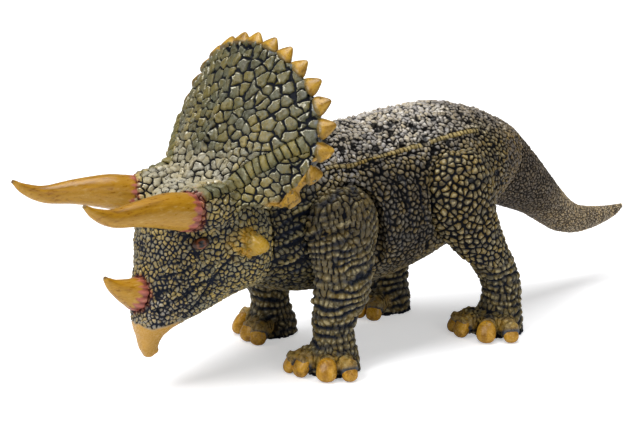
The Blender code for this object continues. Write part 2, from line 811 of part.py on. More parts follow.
# The brick ridge on each side: first its places on the brow boss, in boss radii from the horn's
# base, then those on the frill.
BOSS_BRICK_SHARES = ((0.30, 0.45, 0.44), (0.35, 0.95, 0.56))
FRILL_BRICK_SHARES = ((0.49, -0.13), (0.60, -0.02), (0.72, 0.09), (0.88, 0.21))

# Eyes and nostrils, placed like the horns and the jugals
EYE_SHARES = (0.650, 0.111)
EYE_SPREAD_SHARE = 0.383
NOSTRIL_SHARES = (0.889, -0.484)
NOSTRIL_SPREAD_SHARE = 0.206


def build_bricks(side):
    """Brick-like plates in a row from the brow over the side of the frill."""
    rows = [BROW_BASE + Vector(share) * BROW_BOSS_RADIUS for share in BOSS_BRICK_SHARES]
    rows += [frill_point(across, rise, BRICK_RADIUS * 0.6) for across, rise in FRILL_BRICK_SHARES]
    path = [Vector((side * x, y, z)) for x, y, z in smooth_rows(rows, 4)]
    return ridge("bricks", path, [BRICK_RADIUS * (1 if i % 2 else 0.78) for i in range(len(path))])


def mirrored_place(shares, spread, side):
    return skull_place(*shares) + Vector((side * SKULL_WIDTH * spread, 0, 0))


def build_head():
    head = loft("head", skull_rings(0, HEAD_POINTS, 2))
    for side in (1, -1):
        boss = BROW_BASE + Vector((-BROW_BOSS_RADIUS * 0.25, BROW_BOSS_RADIUS * 1.05, 0))
        boss.x *= side
        radii = (BROW_BOSS_RADIUS * 0.95, BROW_BOSS_RADIUS * 1.75, BROW_BOSS_RADIUS)
        combine(head, blob("boss", boss, radii), "UNION")
        base = skull_place(*JUGAL_SHARES)
        base.x = side * SKULL_WIDTH * JUGAL_SPREAD_SHARE
        out = Vector(JUGAL_HEADING_SHARES).normalized()
        out.x *= side
        jugal = turned(
            "jugal",
            [(-JUGAL_LENGTH * 0.4, JUGAL_RADIUS), (JUGAL_LENGTH * 0.2, JUGAL_RADIUS * 0.84),
             (JUGAL_LENGTH * 0.62, JUGAL_RADIUS * 0.54), (JUGAL_LENGTH * 0.9, JUGAL_RADIUS * 0.28),
             (JUGAL_LENGTH, JUGAL_RADIUS * 0.12)],
            base, out, HORN_POINTS,
        )
        combine(head, jugal, "UNION")
    combine(head, build_frill(), "UNION")
    for i in range(SPIKE_COUNT):
        angle = FRILL_REACH * 0.95 * (2 * i / (SPIKE_COUNT - 1) - 1)
        combine(head, build_spike(angle), "UNION")
    for side in (1, -1):
        combine(head, build_bricks(side), "UNION")
        eye = mirrored_place(EYE_SHARES, EYE_SPREAD_SHARE, side)
        radii = (EYE_LENGTH * 0.30, EYE_LENGTH * 0.50, EYE_LENGTH * 0.34)
        combine(head, blob("eye", eye, radii, 5, 10), "UNION")
        nostril = mirrored_place(NOSTRIL_SHARES, NOSTRIL_SPREAD_SHARE, side)
        combine(head, blob("nostril", nostril, [NOSTRIL_RADIUS] * 3, 5, 8), "DIFFERENCE")
    combine(head, loft("hollow", skull_rings(WALL, HOLLOW_POINTS, 1, 5)), "DIFFERENCE")
    for horn in HORNS:
        for cutter in horn_seat(*horn[1:]):
            combine(head, cutter, "DIFFERENCE")
    combine(head, stem_hole("hole", NECK, NECK_AXIS), "DIFFERENCE")
    return finish(head, "olive", NECK)


def tail_rings(inset, segments, steps, rows_used=None):
    first = TAIL + TAIL_AXIS * (SEAM_GAP + inset)
    rows = [(first.y, first.z, TAIL_TILT, TAIL_ROOT_RADIUS, TAIL_ROOT_RADIUS, TAIL_ROOT_RADIUS)]
    for along, up, lean, wide, rise, drop in TAIL_SHARES[:rows_used]:
        rows.append((
            TAIL_Y + along * TAIL_LENGTH,
            TAIL_ROOT_HEIGHT + up * TAIL_LENGTH,
            math.radians(lean),
            wide * TAIL_ROOT_RADIUS,
            rise * TAIL_ROOT_RADIUS,
            drop * TAIL_ROOT_RADIUS,
        ))
    return [
        section(y, z, lean, wide - inset, rise - inset, drop - inset, segments)
        for y, z, lean, wide, rise, drop in smooth_rows(rows, steps)
    ]


def build_tail():
    tail = loft("tail", tail_rings(0, TAIL_POINTS, 2))
    combine(tail, loft("hollow", tail_rings(WALL, HOLLOW_POINTS, 1, 4)), "DIFFERENCE")
    combine(tail, stem_hole("hole", TAIL, TAIL_AXIS), "DIFFERENCE")
    return finish(tail, "olive", TAIL)


def main():
    clear_scene()
    build_torso()
    build_head()
    build_tail()
    for leg in LEGS:
        build_leg(leg)
    for horn in HORNS:
        build_horn(*horn)
    joints = [("neck", NECK, NECK_AXIS), ("tail", TAIL, TAIL_AXIS)]
    joints += [(leg.name, leg.joint, leg.axis) for leg in LEGS]
    for name, joint, axis in joints:
        build_peg(name, joint, axis)
        build_washer(name, joint, axis)
    made_here = list(bpy.context.scene.objects)
    bpy.context.view_layer.update()
    places = [(made.matrix_world @ v.co).y for made in made_here for v in made.data.vertices]
    for made in made_here:
        made.location.y -= (min(places) + max(places)) / 2


main()
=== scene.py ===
"""Looks of the horned dinosaur figure: scaly vinyl skins, glossy horns, spikes, nails and eyes.

The figure faces -Y, and its left side is at +X.  Every skin starts as the outside of its CAD
shell, meshed finely, and gets its folds, ridges and scales in the mesh.  Lengths are in
millimetres until a mesh is written.  A place on a skin is given for the left side, and the
right side mirrors it.
"""
import json
import math

import bmesh
import bpy
import numpy as np
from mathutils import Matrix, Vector, kdtree


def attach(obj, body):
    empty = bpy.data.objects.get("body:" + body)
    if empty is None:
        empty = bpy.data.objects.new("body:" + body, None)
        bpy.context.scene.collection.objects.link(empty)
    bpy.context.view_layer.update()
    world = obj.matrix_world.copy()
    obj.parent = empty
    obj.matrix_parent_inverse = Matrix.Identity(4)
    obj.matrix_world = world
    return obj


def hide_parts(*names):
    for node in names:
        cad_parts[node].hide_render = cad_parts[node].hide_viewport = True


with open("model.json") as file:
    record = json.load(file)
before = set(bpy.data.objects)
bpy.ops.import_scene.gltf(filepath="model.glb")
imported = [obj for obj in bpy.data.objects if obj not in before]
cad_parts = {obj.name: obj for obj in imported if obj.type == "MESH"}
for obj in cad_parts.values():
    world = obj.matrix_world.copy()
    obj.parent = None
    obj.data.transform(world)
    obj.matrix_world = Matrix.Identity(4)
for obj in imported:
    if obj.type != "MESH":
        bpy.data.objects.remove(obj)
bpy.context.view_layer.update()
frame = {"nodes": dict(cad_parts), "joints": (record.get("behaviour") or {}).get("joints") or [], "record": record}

MM = 0.001
NODES = frame["nodes"]
JOINTS = [(Vector(j["pos_m"]), Vector(j["axis"]).normalized()) for j in frame["joints"]]
BODY_OF = {
    node: body
    for body, nodes in frame["record"]["behaviour"]["bodies"].items() for node in nodes
}


# Numbers over arrays

CELL_PRIMES = (73856093, 19349663, 83492791)
SEED_PRIME = 2654435761
MIXES = ((15, 2246822519), (13, 3266489917))
LAST_SHIFT = 16
WORD = np.uint64(0xFFFFFFFF)
FRACTION = 0xFFFFFF
FIRST_CELL = 1000


def step(low, high, value):
    """0 below low, 1 above high and smooth between them."""
    t = np.clip((np.asarray(value, float) - low) / (high - low), 0, 1)
    return t * t * (3 - 2 * t)


def lattice(cells, seed):
    """A random number from 0 to 1 for each whole-number cell."""
    x, y, z = (cells[:, i].astype(np.uint64) * np.uint64(p) for i, p in enumerate(CELL_PRIMES))
    h = ((x ^ y ^ z) + np.uint64(seed * SEED_PRIME)) & WORD
    for shift, prime in MIXES:
        h = ((h ^ (h >> np.uint64(shift))) * np.uint64(prime)) & WORD
    return ((h ^ (h >> np.uint64(LAST_SHIFT))) & np.uint64(FRACTION)).astype(float) / FRACTION


def numbered(numbers, seed, *tags):
    """A random number from 0 to 1 for each numbered scale."""
    return lattice(np.stack([numbers, *(numbers * 0 + tag for tag in tags)], axis=1), seed)


def noise(points, size, seed):
    """Smooth noise from -1 to 1 with grains of this size."""
    q = points / size + FIRST_CELL
    base = np.floor(q).astype(np.int64)
    f = q - base
    f = f * f * (3 - 2 * f)
    total = np.zeros(len(points))
    for corner in np.ndindex(2, 2, 2):
        share = np.prod(np.where(np.array(corner) == 1, f, 1 - f), axis=1)
        total += share * lattice(base + np.array(corner), seed)
    return total * 2 - 1


def along_line(points, line):
    """Distance from each point to a polyline, how far along it the nearest place is, and its run."""
    line = np.array(line, float)
    best = np.full(len(points), np.inf)
    place = np.zeros(len(points))
    run = 0.0
    for a, b in zip(line[:-1], line[1:]):
        ahead = b - a
        length = np.linalg.norm(ahead)
        t = np.clip((points - a) @ ahead / length**2, 0, 1)
        gap = np.linalg.norm(points - a - t[:, None] * ahead, axis=1)
        closer = gap < best
        best[closer] = gap[closer]
        place[closer] = run + t[closer] * length
        run += length
    return best, place, run


def srgb(text):
    """Linear colour from a hex code."""
    values = np.array([int(text[i:i + 2], 16) / 255 for i in (0, 2, 4)])
    return np.where(values <= 0.04045, values / 12.92, ((values + 0.055) / 1.055) ** 2.4)


# Fine skins over the CAD shells

HOLE_REACH = 5.4
HOLE_DEPTH = 6
WELD = 0.001
SMOOTH_PULLS = (0.5, -0.53)
SPACING_SHARE = 0.82
# high says where the pale edge paint goes: drybrush on raised parts and painted highlight
SKIN_VALUES = ("relief", "high", "cell", "fine", "gloss", "warm")
TINTS = ("groove", "plate", "edge")


def in_hole(point):
    """True on the wall of a peg's hole."""
    for place, axis in JOINTS:
        away = point - place
        along = away.dot(axis)
        if abs(along) < HOLE_DEPTH * MM and (away - axis * along).length < HOLE_REACH * MM:
            return True
    return False


def keep_outer_part(work):
    """Keep only the connected part of a mesh with the largest reach."""
    seen = set()
    parts = []
    for start in work.verts:
        if start in seen:
            continue
        group = [start]
        seen.add(start)
        for vert in group:
            for edge in vert.link_edges:
                other = edge.other_vert(vert)
                if other not in seen:
                    seen.add(other)
                    group.append(other)
        reach = max(v.co.y for v in group) - min(v.co.y for v in group)
        parts.append((reach, group))
    parts.sort(key=lambda part: part[0])
    for _, group in parts[:-1]:
        bmesh.ops.delete(work, geom=group, context="VERTS")


def outside(node):
    """A mesh of the outside of a CAD shell, closed over the peg's hole."""
    work = bmesh.new()
    work.from_mesh(NODES[node].data)
    bmesh.ops.remove_doubles(work, verts=work.verts, dist=WELD * MM)
    walls = [f for f in work.faces if all(in_hole(v.co) for v in f.verts)]
    bmesh.ops.delete(work, geom=walls, context="FACES")
    keep_outer_part(work)
    bmesh.ops.holes_fill(work, edges=[e for e in work.edges if e.is_boundary], sides=0)
    mesh = bpy.data.meshes.new("draft")
    work.to_mesh(mesh)
    work.free()
    return mesh


def linked(name, data):
    """A new object in the scene."""
    made = bpy.data.objects.new(name, data)
    bpy.context.scene.collection.objects.link(made)
    return made


def remeshed(mesh, voxel):
    """Points in millimetres and four-sided faces of a closed mesh, remade at this size."""
    draft = linked("draft", mesh)
    change = draft.modifiers.new("fine", "REMESH")
    change.mode = "VOXEL"
    change.voxel_size = voxel * MM
    graph = bpy.context.evaluated_depsgraph_get()
    fine = draft.evaluated_get(graph).to_mesh()
    points = np.empty(len(fine.vertices) * 3, np.float32)
    fine.vertices.foreach_get("co", points)
    loops = np.empty(len(fine.loops), np.int32)
    fine.loops.foreach_get("vertex_index", loops)
    bpy.data.objects.remove(draft, do_unlink=True)
    bpy.data.meshes.remove(mesh)
    return points.reshape(-1, 3).astype(float) / MM, loops.reshape(-1, 4)


class Skin:
    """A closed fine mesh over a CAD shell, with what its looks need at each vertex."""

    def __init__(self, node, voxel):
        self.node = node
        self.points, self.faces = remeshed(outside(node), voxel)
        ends = np.vstack([self.faces[:, (i, (i + 1) % 4)] for i in range(4)])
        self.edges = np.unique(np.sort(ends, axis=1), axis=0)
        count = len(self.points)
        self.degree = np.bincount(self.edges.ravel(), minlength=count).astype(float)
        self.lift = np.zeros(count)
        for label in SKIN_VALUES:
            setattr(self, label, np.zeros(count))
        self.relief += 1
        self.warm += 1
        self.tints = {}

    def spread(self, values):
        """Average of each vertex's neighbours."""
        if values.ndim > 1:
            return np.stack([self.spread(column) for column in values.T], axis=1)
        a, b = self.edges.T
        count = len(self.points)
        total = np.bincount(a, values[b], count) + np.bincount(b, values[a], count)
        return total / self.degree

    def smooth(self, times):
        """Round off the CAD facets without shrinking the form."""
        for _ in range(times):
            for pull in SMOOTH_PULLS:
                self.points += pull * (self.spread(self.points) - self.points)

    def normals(self):
        a, b, c, d = (self.points[self.faces[:, i]] for i in range(4))
        turned = np.cross(c - a, d - b)
        count = len(self.points)
        total = np.stack([
            sum(np.bincount(self.faces[:, i], turned[:, k], count) for i in range(4))
            for k in range(3)
        ], axis=1)
        return total / np.maximum(np.linalg.norm(total, axis=1), 1e-9)[:, None]

    def raise_by(self, heights):
        """Move the surface out along its normals."""
        self.points += self.normals() * heights[:, None]

    def noise(self, size, seed):
        return noise(self.points, size, seed)

    def scales(self, sizes, places, seed):
        """Random scales of these sizes over these places: for each vertex the distance to its
        scale's edge, the way from its middle and the scale's number."""
        count = len(places)
        tree = kdtree.KDTree(count)
        for i, place in enumerate(places):
            tree.insert(place, i)
        tree.balance()
        covered = np.zeros(count, bool)
        seeds = []
        for i in np.random.default_rng(seed).permutation(count):
            if not covered[i]:
                seeds.append(i)
                near = tree.find_range(places[i], sizes[i] * SPACING_SHARE)
                covered[[found[1] for found in near]] = True
        middles = kdtree.KDTree(len(seeds))
        for number, i in enumerate(seeds):
            middles.insert(places[i], number)
        middles.balance()
        border = np.empty(count)
        middle = np.empty((count, 3))
        owner = np.empty(count, np.int64)
        for i, place in enumerate(places):
            (one, number, near), (two, _, far) = middles.find_n(place, 2)
            border[i] = (far * far - near * near) / (2 * max((two - one).length, 1e-6))
            middle[i] = one
            owner[i] = number
        return border, places - middle, owner

    def folded(self):
        """The vertices with the right side laid over the left."""
        return np.column_stack([abs(self.points[:, 0]), self.points[:, 1:]])

    def tint(self, weight, palette):
        """Lay a palette over a part of the skin."""
        for name, code in zip(TINTS, PALETTES[palette]):
            self.tints[name] += weight[:, None] * (srgb(code) - self.tints[name])

    def crease(self, line, width, depth):
        """A dark fold line pressed into the skin."""
        gap, _, _ = along_line(self.folded(), line)
        press = np.exp(-(gap / width) ** 2)
        self.lift -= depth * press
        self.relief *= 1 - 0.95 * step(0.35, 0.8, press)
        self.high *= 1 - press

    def ridge(self, line, width, height, bright, seen=(1, 1, 1)):
        """A rounded fold that stands up from the skin, near the line as seen along an axis."""
        gap, _, _ = along_line(self.folded() * seen, np.array(line) * seen)
        gap = gap + self.noise(3 * width, 17) * 0.3 * width
        press = np.exp(-(gap / width) ** 2)
        self.lift += height * press
        # The fold's crest takes the pale edge paint: drybrush and painted highlight.
        self.high += bright * step(0.5, 0.9, press)
        self.relief = np.maximum(self.relief, bright * step(0.6, 0.9, press))

    def fold(self, line, drop, width, depth, ridge):
        """A ridge with a crease below it."""
        self.crease([(x, y, z - drop) for x, y, z in line], width, depth)
        self.ridge(line, *ridge)

    def bricks(self, line, pitch, half, palette, depth, proud, dome):
        """A row of scales side by side along a line, flat at dome 0 and round at 1."""
        gap, place, run = along_line(self.folded(), line)
        inside = (place > 0) & (place < run)
        place = place + self.noise(2.5 * pitch, 15) * 0.45 * pitch
        gap = gap + (self.noise(pitch, 16) + self.noise(3 * pitch, 18)) * 0.2 * half
        inside &= gap < half
        number = np.floor(place / pitch)
        side = place - (number + 0.5) * pitch
        border = np.minimum(pitch / 2 - abs(side), half - gap)
        top = np.clip(1 - (side / (0.55 * pitch)) ** 2, 0, 1) * np.clip(1 - (gap / half) ** 2, 0, 1)
        top = np.sqrt(top)
        relief = step(0.05, 0.16 * pitch + 0.1, border) * (1 - dome + dome * top)
        # Pale edge paint on the rims of flat bricks and the tops of round ones: drybrush and painted highlight.
        ring = step(0.1, 0.4, border) * (1 - step(0.5, 1.1, border))
        bright = (1 - dome) * ring * 0.7 + dome * step(0.5, 0.95, top)
        cell = numbered(number, 11, 5, 9)
        self.relief = np.where(inside, relief, self.relief)
        self.high = np.where(inside, bright, self.high)
        self.cell = np.where(inside, cell, self.cell)
        self.lift = np.where(inside, -depth * (1 - relief), self.lift)
        self.lift += proud * np.exp(-(gap / (half * 0.8)) ** 2) * (0.8 + 0.4 * cell)
        self.tint(inside.astype(float), palette)

    def pit(self, place, radius, depth):
        """A glossy black pit."""
        gap = np.linalg.norm(self.points - np.array(place, float), axis=1)
        press = step(radius * 1.25, radius * 0.55, gap)
        self.lift -= depth * press
        self.relief *= 1 - press
        self.high *= 1 - press
        self.gloss = np.maximum(self.gloss, press)
        self.tint(press, "pit")

    def bands(self, field, pitch, share, weight, depth, dark=0.9):
        """Wrinkles in fold colours at this pitch along a field, where the weight is 1."""
        wave = abs((field / pitch) % 1 - 0.5) * 2
        press = step(1 - share * 1.5, 1 - share * 0.4, wave) * weight
        self.lift -= depth * press
        self.relief *= 1 - dark * press
        self.high *= 1 - press
        self.tint(press, "fold")

    def bare(self, weight, palette, gloss, lift):
        """Smooth paint without scales."""
        self.relief += weight * (1 - self.relief)
        self.high *= 1 - weight
        self.lift += weight * (lift - self.lift)
        self.fine *= 1 - weight
        self.gloss = np.maximum(self.gloss, gloss * weight)
        self.tint(weight, palette)


def write_colours(mesh, label, colours):
    layer = mesh.attributes.new(label, "FLOAT_COLOR", "POINT")
    full = np.ones((len(colours), 4), np.float32)
    full[:, :3] = colours
    layer.data.foreach_set("color", full.ravel())


def write_mesh(name, points, faces):
    """An object in metres from points in millimetres."""
    mesh = bpy.data.meshes.new(name)
    mesh.vertices.add(len(points))
    mesh.vertices.foreach_set("co", (points * MM).astype(np.float32).ravel())
    sides = len(faces[0])
    mesh.loops.add(len(faces) * sides)
    mesh.loops.foreach_set("vertex_index", np.asarray(faces, np.int32).ravel())
    mesh.polygons.add(len(faces))
    mesh.polygons.foreach_set("loop_start", np.arange(len(faces), dtype=np.int32) * sides)
    mesh.update(calc_edges=True)
    mesh.validate()
    mesh.shade_smooth()
    return linked(name, mesh)


# Materials

class Shader:
    """Shorthand for building a node material."""

    def __init__(self, name):
        self.material = bpy.data.materials.new(name)
        self.material.use_nodes = True
        self.tree = self.material.node_tree
        self.surface = self.tree.nodes["Principled BSDF"]

    def node(self, kind, **settings):
        made = self.tree.nodes.new(kind)
        for key, value in settings.items():
            setattr(made, key, value)
        return made

    def feed(self, socket, value):
        if isinstance(value, bpy.types.NodeSocket):
            self.tree.links.new(value, socket)
        else:
            socket.default_value = value

    def math(self, operation, *values):
        made = self.node("ShaderNodeMath", operation=operation)
        for socket, value in zip(made.inputs, values):
            self.feed(socket, value)
        return made.outputs[0]

    def put(self, label, value):
        self.feed(self.surface.inputs[label], value)

    def add(self, one, two):
        return self.math("ADD", one, two)

    def times(self, one, two):
        return self.math("MULTIPLY", one, two)

    def less(self, value):
        """What a value leaves of one."""
        return self.math("SUBTRACT", 1, value)

    def shade(self, colour, share):
        """A colour darkened or tinted by another."""
        return self.mix(1.0, colour, share, "MULTIPLY")

    def shift(self, value, amount):
        """A value from 0 to 1 moved to lie evenly round zero and scaled."""
        return self.times(self.math("SUBTRACT", value, 0.5), amount)

    def ramp(self, value, low, high):
        """0 below low, 1 above high and smooth between them."""
        made = self.node("ShaderNodeMapRange", interpolation_type="SMOOTHSTEP")
        self.feed(made.inputs["Value"], value)
        self.feed(made.inputs["From Min"], low)
        self.feed(made.inputs["From Max"], high)
        return made.outputs[0]

    def mix(self, share, one, two, blend="MIX"):
        made = self.node("ShaderNodeMix", data_type="RGBA", blend_type=blend)
        for label, value in (("Factor_Float", share), ("A_Color", one), ("B_Color", two)):
            socket = next(s for s in made.inputs if s.identifier == label)
            self.feed(socket, value)
        return next(s for s in made.outputs if s.identifier == "Result_Color")

    def attribute(self, name, colour=False):
        made = self.node("ShaderNodeAttribute", attribute_name=name)
        return made.outputs["Color" if colour else "Fac"]

    def coordinates(self, stretch=(1, 1, 1)):
        place = self.node("ShaderNodeTexCoord").outputs["Object"]
        if stretch == (1, 1, 1):
            return place
        made = self.node("ShaderNodeMapping")
        self.feed(made.inputs["Vector"], place)
        made.inputs["Scale"].default_value = stretch
        return made.outputs[0]

    def noise(self, size, detail=4.0, roughness=0.6, stretch=(1, 1, 1)):
        """Noise with grains of this size in millimetres."""
        made = self.node("ShaderNodeTexNoise")
        self.feed(made.inputs["Vector"], self.coordinates(stretch))
        made.inputs["Scale"].default_value = 1 / (size * MM)
        made.inputs["Detail"].default_value = detail
        made.inputs["Roughness"].default_value = roughness
        return made.outputs["Fac"]

    def cells(self, size, feature):
        made = self.node("ShaderNodeTexVoronoi", feature=feature)
        self.feed(made.inputs["Vector"], self.coordinates())
        made.inputs["Scale"].default_value = 1 / (size * MM)
        return made

    def bump(self, height, distance, strength=1.0):
        """A bump whose height is this distance in millimetres."""
        made = self.node("ShaderNodeBump")
        made.inputs["Strength"].default_value = strength
        made.inputs["Distance"].default_value = distance * MM
        self.feed(made.inputs["Height"], height)
        self.put("Normal", made.outputs["Normal"])


GOLD_SHARE = (1.42, 1.16, 0.52, 1)
DUSTY_SHARE = (0.84, 0.88, 0.98, 1)
DARK_SHARE = (0.36, 0.37, 0.42, 1)


def skin_material(name, pebble, roughness=0.42):
    """Vinyl with a dark matt wash in grooves, gold and dusty scales, and edges of drybrush and painted highlight.
    """
    s = Shader(name)
    grain = s.noise(0.8, 5, 0.65)
    blotch = s.noise(8, 4, 0.6)
    speck = s.noise(1.5, 5, 0.72)
    fine = s.attribute("fine")
    cell = s.attribute("cell")
    gloss = s.attribute("gloss")
    clean = s.less(s.ramp(gloss, 0.02, 0.25))
    small = s.ramp(s.cells(pebble, "DISTANCE_TO_EDGE").outputs["Distance"], 0.03, 0.22)
    worn = s.less(s.times(fine, s.less(small)))
    height = s.times(s.attribute("relief"), worn)
    shaken = s.add(height, s.shift(grain, 0.60))
    plate = s.attribute("plate", True)
    hue = s.add(s.shift(cell, 0.22), s.shift(blotch, 0.9))
    hue = s.add(hue, s.shift(speck, 1.9))
    tinted = s.mix(s.ramp(hue, -0.22, 0.22), s.shade(plate, DUSTY_SHARE),
                   s.shade(plate, GOLD_SHARE))
    plate = s.mix(s.times(clean, s.attribute("warm")), plate, tinted)
    dusk = s.ramp(s.add(speck, s.shift(cell, -0.10)), 0.49, 0.63)
    dusk = s.times(dusk, clean)
    plate = s.mix(dusk, plate, s.shade(plate, DARK_SHARE))
    body = s.mix(s.ramp(shaken, 0.10, 0.60), s.attribute("groove", True), plate)
    # The edge colour where high and the noises say: drybrushed paint and painted highlight.
    lit = s.times(s.attribute("high"), worn)
    lit = s.add(lit, s.shift(grain, 1.6))
    lit = s.add(lit, s.shift(speck, -1.2))
    lit = s.add(lit, s.shift(blotch, 0.4))
    body = s.mix(s.times(s.ramp(lit, 0.50, 1.30), 0.9), body, s.attribute("edge", True))
    s.put("Base Color", body)
    rough = s.add(roughness, s.shift(grain, 0.2))
    rough = s.times(rough, s.less(s.times(gloss, 0.5)))
    s.put("Roughness", rough)
    shine = s.add(s.times(s.ramp(shaken, 0.35, 0.95), 0.38), 0.06)
    shine = s.math("MAXIMUM", shine, s.times(gloss, 0.5))
    s.put("Specular IOR Level", shine)
    height = s.add(s.times(worn, 0.7), s.times(grain, 0.5))
    height = s.add(height, s.times(speck, 0.35))
    height = s.times(height, s.less(s.times(gloss, 0.85)))
    s.bump(height, 0.36, 0.9)
    return s.material


def paint_material(name, roughness=0.3, streak=(1, 1, 1), rubbed=0.25):
    """Glossy paint whose colour lies on the vertices, with streaks, grain and small dark pores."""
    s = Shader(name)
    grain = s.noise(0.9, 6, 0.65, streak)
    broad = s.noise(5, 3, 0.5, streak)
    paint = s.attribute("paint", True)
    dark = s.shade(paint, (0.62, 0.52, 0.34, 1))
    light = s.mix(rubbed, paint, (0.86, 0.70, 0.34, 1))
    wear = s.add(grain, s.shift(broad, 0.5))
    body = s.mix(s.ramp(wear, 0.26, 0.52), dark, paint)
    body = s.mix(s.ramp(wear, 0.54, 0.84), body, light)
    s.put("Base Color", body)
    s.put("Roughness", s.add(roughness, s.shift(grain, 0.22)))
    s.put("Specular IOR Level", 0.38)
    s.bump(grain, 0.16, 0.8)
    return s.material


# Palettes: groove, plate and edge; the edge colour is pale drybrush and painted highlight

PALETTES = {
    "frill": ("12151d", "56553b", "e2deca"),
    "rim": ("1e212b", "6a6e74", "d2d6d8"),
    "crown": ("141210", "a09a86", "f2eddc"),
    "brow": ("101319", "686543", "d8d2b4"),
    "face": ("191d29", "8a8268", "e2d0a0"),
    "cheek": ("1f2430", "988f6c", "e6d8a0"),
    "snout": ("22252f", "a39b8c", "e6dec2"),
    "jaw": ("242936", "a9a07c", "ece0b4"),
    "neck": ("0d1018", "58543e", "a39668"),
    "back": ("100e0d", "aea8a1", "f4efe8"),
    "rear": ("15120f", "857e77", "d8d0c8"),
    "crest": ("1a160c", "85754a", "c4b078"),
    "flank": ("06070a", "524b3f", "9a9074"),
    "shoulder": ("090c14", "544c36", "a89a6e"),
    "thigh": ("08090d", "695f46", "bcae80"),
    "leg": ("0e131d", "625a42", "b4a678"),
    "shank": ("10131c", "7a7158", "beb084"),
    "belly": ("16171c", "72694f", "a89c78"),
    "tail": ("191613", "72675a", "b6aa94"),
    "tail_end": ("574c3e", "cdbb9c", "e2d6c0"),
    "pit": ("020203", "040405", "0a0a0c"),
    "fold": ("101521", "2a3142", "5c6474"),
    "gold": ("3a2c10", "94782c", "c6a44e"),
    "spike": ("6a4c14", "a67e22", "d2ac54"),
    "ochre": ("58400c", "a88422", "dcb850"),
    "beak": ("7a5c2c", "bd8f3c", "d6b26c"),
    "pink": ("4e2220", "8c4c40", "b87c68"),
}

# Landmarks on each skin: scale size, groove depth, flatness, palette and places
MARKS = {
    "torso": (
        (2.0, 0.60, 0.3, "neck", (0, -60, 80)),
        (2.4, 0.70, 0.2, "neck", (24, -58, 68), (20, -55, 45)),
        (2.3, 0.95, 0.3, "back", (0, -40, 98), (18, -40, 90), (0, -10, 100), (20, -5, 93)),
        (2.3, 0.90, 0.3, "back", (0, 20, 100)),
        (2.1, 0.80, 0.3, "rear", (0, 40, 98)),
        (2.0, 0.60, 0.3, "rear", (0, 60, 90)),
        (2.5, 0.75, 0.0, "flank", (31, -24, 78), (32, -5, 78)),
        (2.4, 0.70, 0.0, "flank", (33, -5, 62), (31, -24, 58)),
        (2.3, 0.60, 0.1, "flank", (28, -5, 44)),
        (2.4, 0.50, 0.3, "belly", (14, -25, 29), (0, 10, 28)),
        (2.3, 0.50, 0.2, "belly", (24, 10, 34)),
        (2.5, 0.75, 0.0, "thigh", (24, 45, 80)),
        (1.9, 0.55, 0.2, "tail", (18, 62, 72)),
        (1.9, 0.50, 0.2, "tail", (0, 62, 55)),
    ),
    "head": (
        (4.8, 1.05, 0.85, "frill", (0, -66, 128)),
        (4.7, 1.05, 0.85, "frill", (24, -70, 124)),
        (4.8, 1.05, 0.85, "frill", (38, -72, 108), (10, -80, 112)),
        (4.3, 1.00, 0.85, "frill", (36, -70, 94)),
        (4.2, 1.00, 0.85, "frill", (6, -90, 100)),
        (3.8, 1.20, 0.80, "crown", (0, -97, 92)),
        (3.6, 1.15, 0.80, "crown", (16, -97, 88)),
        (3.3, 1.00, 0.80, "crown", (0, -108, 82)),
        (3.2, 0.80, 0.7, "brow", (26, -92, 80)),
        (2.1, 0.60, 0.35, "face", (24, -100, 72)),
        (1.9, 0.60, 0.35, "face", (14, -112, 62), (0, -117, 62)),
        (2.3, 0.60, 0.35, "cheek", (26, -88, 66)),
        (2.1, 0.58, 0.35, "cheek", (24, -84, 50)),
        (2.0, 0.60, 0.35, "cheek", (18, -98, 48)),
        (1.9, 0.55, 0.35, "face", (10, -118, 46)),
        (1.8, 0.50, 0.35, "snout", (9, -119, 36)),
        (2.0, 0.55, 0.4, "jaw", (14, -96, 36)),
        (2.0, 0.50, 0.4, "jaw", (0, -90, 30)),
        (2.0, 0.50, 0.4, "cheek", (0, -76, 40)),
        (2.8, 0.50, 0.6, "neck", (0, -58, 118), (24, -58, 108)),
    ),
    "tail": (
        (1.9, 0.55, 0.3, "rear", (0, 68, 84)),
        (1.8, 0.50, 0.2, "tail", (15, 75, 70), (0, 72, 52)),
        (1.7, 0.45, 0.3, "tail", (8, 95, 62)),
        (1.6, 0.42, 0.3, "tail_end", (6, 115, 48)),
        (1.4, 0.32, 0.3, "tail_end", (0, 150, 30)),
    ),
    "front_leg": (
        (2.3, 0.75, 0.4, "shoulder", (36, -42, 70), (40, -44, 56)),
        (2.3, 0.70, 0.4, "leg", (37, -44, 42)),
        (2.3, 0.65, 0.4, "leg", (34, -40, 28)),
        (2.2, 0.60, 0.2, "leg", (32, -44, 15)),
        (1.8, 0.40, 0.4, "leg", (30, -55, 6)),
    ),
    "hind_leg": (
        (3.1, 0.90, 0.0, "thigh", (40, 16, 76)),
        (3.3, 0.95, 0.0, "thigh", (42, 30, 66)),
        (3.2, 0.90, 0.0, "thigh", (42, 22, 54)),
        (2.7, 0.80, 0.0, "shank", (38, 36, 42)),
        (2.5, 0.65, 0.1, "leg", (34, 44, 22)),
        (1.9, 0.40, 0.4, "leg", (34, 36, 8)),
    ),
}
NEARNESS = 3.2
WARP = 0.9
# The way the light comes from, up and to the camera's left, for the painted highlight on the plates' lit edges.
LIGHT_SIDE = np.array((-0.35, -0.43, 0.83))


def noises(points, size, seed):
    """Three noises side by side."""
    return np.stack([noise(points, size, seed + k) for k in range(3)], axis=1)


